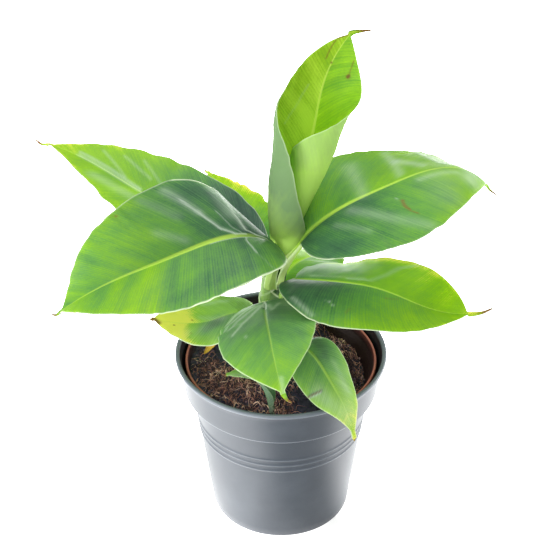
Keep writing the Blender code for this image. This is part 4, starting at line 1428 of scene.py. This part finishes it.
@dataclass
class RootBall:
    """The potting mix: a crumbly mound, its loose crumbs, its husk chips and its curly coir fibres."""

    liner: InnerPot
    edge_drop: float = 4.0
    right_drop: float = 5.0
    right_fall: float = 9.0
    # Where the fall at the right starts and is full: from the middle, and towards +X
    fall_from: Pair = (49.0, 63.0)
    fall_towards: Pair = (20.0, 45.0)
    # Height and width of the mix's coarse, middle and fine grain
    grains: tuple[Pair, ...] = ((1.5, 9.0), (1.0, 3.7), (0.5, 1.5))
    gap: float = 0.3
    rings: int = 110
    sides: int = 300
    seed: int = 7
    reach: float = 71.5
    # Each clump: its place, its height and its width; a negative height is a hollow
    clumps: tuple[tuple[float, float, float, float], ...] = (
        (48, 22, 4.0, 14.0), (56, -8, 1.5, 12.0), (-42, -40, 3.0, 19.0), (-60, -12, 2.0, 12.0),
        (-2, -60, 2.0, 13.0), (10, 58, 2.0, 20.0), (37, 42, -8.0, 7.0), (22, -52, -3.5, 13.0),
        (-38, 8, -2.5, 16.0))
    crumbs: int = 2200
    crumb_size: Pair = (0.5, 1.9)
    # Chance that a spot away from every clump is kept, for a crumb and for a fibre, and a clump's pull
    crumb_chance: float = 0.45
    fibre_chance: float = 0.14
    clump_pull: float = 0.7
    # Room from the fibres to the liner's wall, how far those over its lip stand out past its rim, and
    # how far towards +X these lie
    wall_room: float = 1.2
    lip_room: float = 1.5
    lip_end: float = 20.0
    scrap_place: Point = (-62.0, 8.0, 140.0)
    scrap_grid: tuple[int, int] = (40, 17)
    scrap_length: float = 18.0
    scrap_half: float = 3.6
    scrap_heading: float = 35.0
    scrap_hump: float = 2.6
    scrap_thick: float = 0.35

    def height(self, x: Array, y: Array) -> Array:
        """Height of the mix: the solid's low mound, then clumps, hollows and three sizes of grain.

        Args:
            x: first coordinate.
            y: second coordinate, of the same shape.

        Returns:
            A height for each point.
        """
        radius = float(self.liner.inner_radius(SOIL_TOP))
        far = np.hypot(x, y)
        edge = far / radius
        base = SOIL_TOP - self.edge_drop * edge**3 - self.right_drop * np.clip(x / radius, 0, 1) ** 2
        base = base - self.right_fall * step(*self.fall_from, far) * step(*self.fall_towards, x)
        for cx, cy, size, width in self.clumps:
            base = base + size * np.exp(-((x - cx) ** 2 + (y - cy) ** 2) / width**2)
        coarse, middle, fine = (high * noise(x / wide, y / wide, self.seed + number)
                                for number, (high, wide) in enumerate(self.grains))
        return base + (coarse + middle) * (1 - 0.4 * edge**4) + fine

    def ball(self, material: Material) -> Piece:
        """The closed ball: up the liner's inside wall, then in rings over the rough top to its middle.

        Args:
            material: its finish.

        Returns:
            The finished object.
        """
        low = self.liner.bottom + self.liner.wall + self.gap
        way = circle(self.sides)
        walls = [way * (float(self.liner.inner_radius(z)) - self.gap) * share + (0, 0, z)
                 for share, z in ((0.02, low), (1.0, low), (1.0, self.liner.shoulder - 2))]
        outer = float(self.liner.inner_radius(SOIL_TOP - self.edge_drop)) - self.gap
        share = np.linspace(1, 0.01, self.rings)[:, None]
        x, y = outer * share * way[:, 0], outer * share * way[:, 1]
        z = self.height(x, y)
        squeeze = np.minimum(1, (self.liner.inner_radius(z) - self.gap) / outer / share)
        rings = np.concatenate([walls, np.stack([x * squeeze, y * squeeze, z], -1)])
        points, faces = capped(rings, np.array([[0, 0, low], [0, 0, float(z[-1].mean())]]))
        tone = 0.25 + 0.2 * noise(points[:, 0] / 2.2, points[:, 1] / 2.2, self.seed + 3)
        tone[-2:] = 0.2
        return Surface(points, faces, masks={"tone": tone}).piece(
            "soil", material, "coir_potting_mix", ("soil",))

    def scattered(self, rng: np.random.Generator, count: int, base: float) -> tuple[Array, Array]:
        """Random spots on the mix, close together on its clumps and sparse in its hollows.

        Args:
            rng: source of random numbers.
            count: how many spots.
            base: chance that a spot away from every clump is kept.

        Returns:
            The spots' two coordinates.
        """
        turn = rng.uniform(0, 2 * math.pi, 12 * count)
        radius = (self.reach - 2) * np.sqrt(rng.uniform(0.03, 1, 12 * count))
        x, y = radius * np.cos(turn), radius * np.sin(turn)
        chance = base + 0.1 * noise(x / 11, y / 11, self.seed + 4)
        for cx, cy, size, width in self.clumps:
            bell = np.exp(-((x - cx) ** 2 + (y - cy) ** 2) / width**2)
            chance = chance + np.sign(size) * self.clump_pull * bell
        keep = np.flatnonzero(rng.uniform(0, 1, len(x)) < chance)[:count]
        return x[keep], y[keep]

    def loose_crumbs(self, material: Material) -> Piece:
        """Loose crumbs: copies of one twenty-faced lump, each stretched, turned and sized at random.

        Args:
            material: its finish.

        Returns:
            The finished object.
        """
        rng = np.random.default_rng(self.seed)
        golden = (1 + math.sqrt(5)) / 2
        flat = unit(np.array([(s, golden * q, 0) for s in (-1, 1) for q in (-1, 1)], float))
        lump = np.concatenate([flat, np.roll(flat, 1, 1), np.roll(flat, 2, 1)])
        near = np.linalg.norm(lump[:, None] - lump[None], axis=-1) < 1.1
        triples = [(i, j, k) for i in range(12) for j in range(i + 1, 12) for k in range(j + 1, 12)
                   if near[i, j] and near[j, k] and near[i, k]]
        outward = [np.dot(np.cross(lump[j] - lump[i], lump[k] - lump[i]), lump[i]) for i, j, k in triples]
        faces = np.array([t if way > 0 else t[::-1] for t, way in zip(triples, outward)])
        x, y = self.scattered(rng, self.crumbs, self.crumb_chance)
        n = len(x)
        size = between(self.crumb_size, rng.uniform(0, 1, n) ** 3)
        shape = lump[None] * size[:, None, None] * rng.uniform(0.6, 1.3, (n, 1, 3))
        shape = shape * rng.uniform(0.75, 1.2, (n, 12, 1))
        side, _ = np.linalg.qr(rng.normal(0, 1, (n, 3, 3)))
        side = side * np.linalg.det(side)[:, None, None]
        shape = np.einsum("nij,nvj->nvi", side, shape)
        place = np.stack([x, y, self.height(x, y) + 0.25 * size], -1)
        numbers = (faces[None] + 12 * np.arange(n)[:, None, None]).reshape(-1, 3)
        tone = np.repeat(rng.uniform(0.0, 0.8, n) ** 1.7, 12)
        return Surface((shape + place[:, None]).reshape(-1, 3), [numbers], masks={"tone": tone}).piece(
            "soil_crumbs", material, "coir_potting_mix")

    def strands(self, kind: Strands, material: Material, seed: int) -> Piece:
        """Loose fibres: tapering tubes that lie on the mix and arch a little off it.

        A fibre's line starts at a random spot, and its heading drifts by a slow turn and a wave as it
        goes.  Its height is the mix's, plus an arch that is a half sine over its length.

        Args:
            kind: the fibres' sizes.
            material: their finish.
            seed: number that fixes their places.

        Returns:
            The finished object.
        """
        rng = np.random.default_rng(seed)
        x0, y0 = self.scattered(rng, kind.count, self.fibre_chance)
        n, p, sides = len(x0), kind.points, kind.sides
        s = np.linspace(0, 1, p)[None, :]
        length = between(kind.length, rng.uniform(0, 1, (n, 1)) ** 1.6)
        drift = rng.uniform(0, 2 * math.pi, (n, 1)) + kind.curl * rng.normal(0, 1, (n, 1)) * s
        drift = drift + 0.6 * kind.curl * np.sin(2 * math.pi * s + rng.uniform(0, 6, (n, 1)))
        run = length / (p - 1)
        x = x0[:, None] + np.cumsum(np.cos(drift) * run, 1)
        y = y0[:, None] + np.cumsum(np.sin(drift) * run, 1)
        outside = rng.uniform(0, 1, (n, 1)) < kind.over_lip
        wall = self.liner.inner_radius(self.height(x, y)) - self.wall_room
        limit = np.where(outside & (x < self.lip_end), self.liner.rim_radius + self.lip_room, wall)
        far = np.maximum(np.hypot(x, y) / limit, 1)
        x, y = x / far, y / far
        arch = kind.arch * rng.uniform(0, 1, (n, 1)) ** 3
        tilt = np.maximum(rng.normal(0, 0.3 * kind.arch, (n, 1)), 0) * s
        z = self.height(x, y) + kind.radius[1] * 0.5 + arch * np.sin(math.pi * s) + tilt
        over = step(self.reach - 1.5, self.reach + 2, np.hypot(x, y))
        z = np.maximum(z, (self.liner.top + 0.5) * over)
        line = np.stack([x, y, z], -1)
        forward = unit(np.gradient(line, axis=1))
        side = unit(np.cross(forward, (0.0, 0.0, 1.0)))
        up = np.cross(side, forward) * kind.squash
        radius = between(kind.radius, rng.uniform(0, 1, (n, 1)) ** 2)
        radius = radius * (1 - 0.6 * np.abs(2 * s - 0.8) ** 2)
        way = circle(sides)
        ring = way[:, :1] * side[:, :, None] + way[:, 1:2] * up[:, :, None]
        points = line[:, :, None] + ring * radius[..., None, None]
        ends = np.array([list(range(sides)), list(range(p * sides - 1, (p - 1) * sides - 1, -1))])
        block = np.concatenate([grid_faces(p, sides), ends])
        numbers = (block[None] + p * sides * np.arange(n)[:, None, None]).reshape(-1, 4)
        patch = 0.75 + 0.6 * noise(x0 / 9, y0 / 9, self.seed + 6)
        tone = np.repeat(rng.uniform(0, 1, n) ** kind.light * patch, p * sides)
        return Surface(points.reshape(-1, 3), [numbers], masks={"tone": tone}).piece(
            kind.name, material, "coir_potting_mix")

    def scrap(self, material: Material) -> Piece:
        """A curled scrap of dead leaf on the mix: a strip whose section is an arc and whose back humps.

        Args:
            material: its finish.

        Returns:
            The finished object.
        """
        rows, columns = self.scrap_grid
        s, t = np.meshgrid(np.linspace(0, 1, rows), np.linspace(-1, 1, columns), indexing="ij")
        half = self.scrap_half * np.sin(math.pi * np.clip(s * 0.9 + 0.06, 0, 1)) ** 0.7
        lean = math.radians(self.scrap_heading) + 0.5 * s
        curl = t * (1.0 + 0.9 * s)
        x = s * self.scrap_length * np.cos(lean) - half * np.sin(curl) * np.sin(lean)
        y = s * self.scrap_length * np.sin(lean) + half * np.sin(curl) * np.cos(lean)
        hump = self.scrap_hump * np.sin(math.pi * s)
        z = hump + half * (1 - np.cos(curl)) * 0.9 + 0.5 * noise(s * 7, t * 3, 3)
        top = np.stack([x, y, z], -1) + np.array(self.scrap_place)
        shell = np.concatenate([top, (top - (0, 0, self.scrap_thick))[:, ::-1]], 1)
        tone = np.concatenate([0.3 + 0.6 * s, 0.2 + 0.3 * s], 1)
        return Surface(shell.reshape(-1, 3), shell_faces(*shell.shape[:2]), masks={"tone": tone}).piece(
            "dead_leaf_scrap", material, "coir_potting_mix")


@dataclass
class Studio:
    """A pale floor, soft light from all round and the camera at the photograph's angle."""

    target: Point = (-4.73, 0.0, 222.5)
    distance: float = 1200.0
    pitch: float = 34.05
    lens: float = 101.1
    floor_half: float = 6000.0
    floor_colour: str = "#bcbcba"
    floor_glow: float = 0.6
    # Each glow's direction from +X, how far out that way it starts and is full, and its strength
    glows: tuple[tuple[float, float, float, float], ...] = (
        (156.0, -0.055, 0.01, 2.8), (135.0, 0.025, 0.09, -1.2), (180.0, 0.09, 0.16, 1.1),
        (180.0, 0.32, 0.48, -2.6), (45.0, 0.008, 0.055, 2.1))
    least_glow: float = 0.5
    sky: float = 0.46
    lit_point: Point = (0.0, 0.0, 0.2)
    # Each softbox's name, place in metres, side and power
    softboxes: tuple[tuple[str, Point, float, float], ...] = (
        ("softbox_over", (0.1, 0.6, 1.9), 1.4, 21.0), ("softbox_left", (-1.2, -0.4, 0.4), 0.8, 15.0),
        ("softbox_right", (1.2, 0.5, 0.4), 0.8, 12.0), ("softbox_front", (-0.3, -1.5, 1.5), 1.4, 18.0))

    def camera(self) -> None:
        """Places the camera on a line that looks down at the target by the pitch."""
        data = bpy.data.cameras.new("camera")
        data.lens = self.lens
        data.clip_end = 100.0
        eye = put("camera", data)
        pitch = math.radians(self.pitch)
        back = (0.0, -math.cos(pitch) * self.distance, math.sin(pitch) * self.distance)
        eye.location = [(a + b) * MM for a, b in zip(self.target, back)]
        eye.rotation_euler = (math.pi / 2 - pitch, 0.0, 0.0)
        bpy.context.scene.camera = eye

    def floor(self) -> None:
        """A wide sheet of white acrylic, lit from below and more so at its sides, no part of the object."""
        h = self.floor_half * MM
        mesh = bpy.data.meshes.new("floor")
        mesh.from_pydata([(-h, -h, 0), (h, -h, 0), (h, h, 0), (-h, h, 0)], [], [(0, 1, 2, 3)])
        material, tree = new_material("lit_white_acrylic")
        spots = add(tree, "TexCoord", output="Object")
        x, y = (add(tree, "SeparateXYZ", (spots,), output=axis) for axis in "XY")
        glow = self.floor_glow
        for turn, near, far, strength in self.glows:
            angle = math.radians(turn)
            ahead = add(tree, "Math", (x, math.cos(angle)), operation="MULTIPLY")
            way = add(tree, "Math", (y, math.sin(angle), ahead), operation="MULTIPLY_ADD")
            side = add(tree, "MapRange", {"Value": way, "From Min": near, "From Max": far, "To Min": 0.0,
                                          "To Max": strength})
            glow = add(tree, "Math", (side, glow), operation="ADD")
        glow = add(tree, "Math", (glow, self.least_glow), operation="MAXIMUM")
        skin = add(tree, "BsdfPrincipled", {
            "Base Color": linear(self.floor_colour), "Roughness": 0.9, "Specular IOR Level": 0.1,
            "Emission Color": (1, 1, 1, 1), "Emission Strength": glow})
        add(tree, "OutputMaterial", {"Surface": skin})
        mesh.materials.append(material)
        put("floor", mesh)

    def light(self, name: str, place: Point, size: float, power: float) -> None:
        """A square softbox at a place in metres, turned to face the point that it lights.

        Args:
            name: the lamp's name.
            place: where it is.
            size: its side in metres.
            power: its power in watts.
        """
        data = bpy.data.lights.new(name, "AREA")
        data.size = size
        data.energy = power
        lamp = put(name, data)
        away = np.array(place) - self.lit_point
        lamp.location = place
        lamp.rotation_euler = (math.acos(away[2] / np.linalg.norm(away)), 0,
                               math.atan2(away[1], away[0]) + math.pi / 2)

    def build(self) -> None:
        """Sets up the world, the lights, the floor and the camera."""
        world = bpy.data.worlds.new("studio")
        world.use_nodes = True
        world.node_tree.nodes.clear()
        sky = add(world.node_tree, "Background", {"Color": (1, 1, 1, 1), "Strength": self.sky})
        add(world.node_tree, "OutputWorld", {"Surface": sky})
        bpy.context.scene.world = world
        bpy.context.scene.view_settings.view_transform = "Standard"
        for box in self.softboxes:
            self.light(*box)
        self.floor()
        self.camera()


def main() -> None:
    """Builds the plant from the pot up, then the studio."""
    logging.basicConfig(level=logging.INFO, format="%(name)s %(message)s")
    # Each pot's third colour is the painted shade of its inside; the liner's is also its dark inner layer
    OuterPot().build(MouldedPlastic(
        "satin_polypropylene", "#27303b", "#8c96a0", "#101317", 0.38, gloss=0.6).material())
    liner = InnerPot()
    liner.build(MouldedPlastic(
        "thin_terracotta_polypropylene", "#743a33", "#cc8070", "#180c0d", 0.6, gloss=0.3).material())
    mix = RootBall(liner)
    mix.ball(PottingMix("milled_peat", "#242531", "#443f54", "#74667c").material())
    mix.loose_crumbs(PottingMix("peat_crumbs", "#2e2c3a", "#695862", "#c69c98").material())
    chips = Strands("husk_chips", 2500, (2.0, 8.0), (0.16, 0.8), 0.35, 4.0, squash=0.6, light=1.7)
    mix.strands(chips, PottingMix("coir_husk_chip", "#33262e", "#aa7a6c", "#ffdcc2").material(), 21)
    hairs = Strands("coir_fibres", 1000, (6.0, 18.0), (0.12, 0.26), 1.1, 5.0, over_lip=0.2, light=1.3)
    mix.strands(hairs, PottingMix("coir_husk_fibre", "#5c4246", "#d69e8e", "#ffe4cc").material(), 22)
    mix.scrap(PottingMix("dead_leaf", "#94702e", "#dcae48", "#ffdc70").material())
    Pseudostem().build(SheathSkin().material())
    Foliage().build()
    Studio().build()


if __name__ == "__main__":
    main()
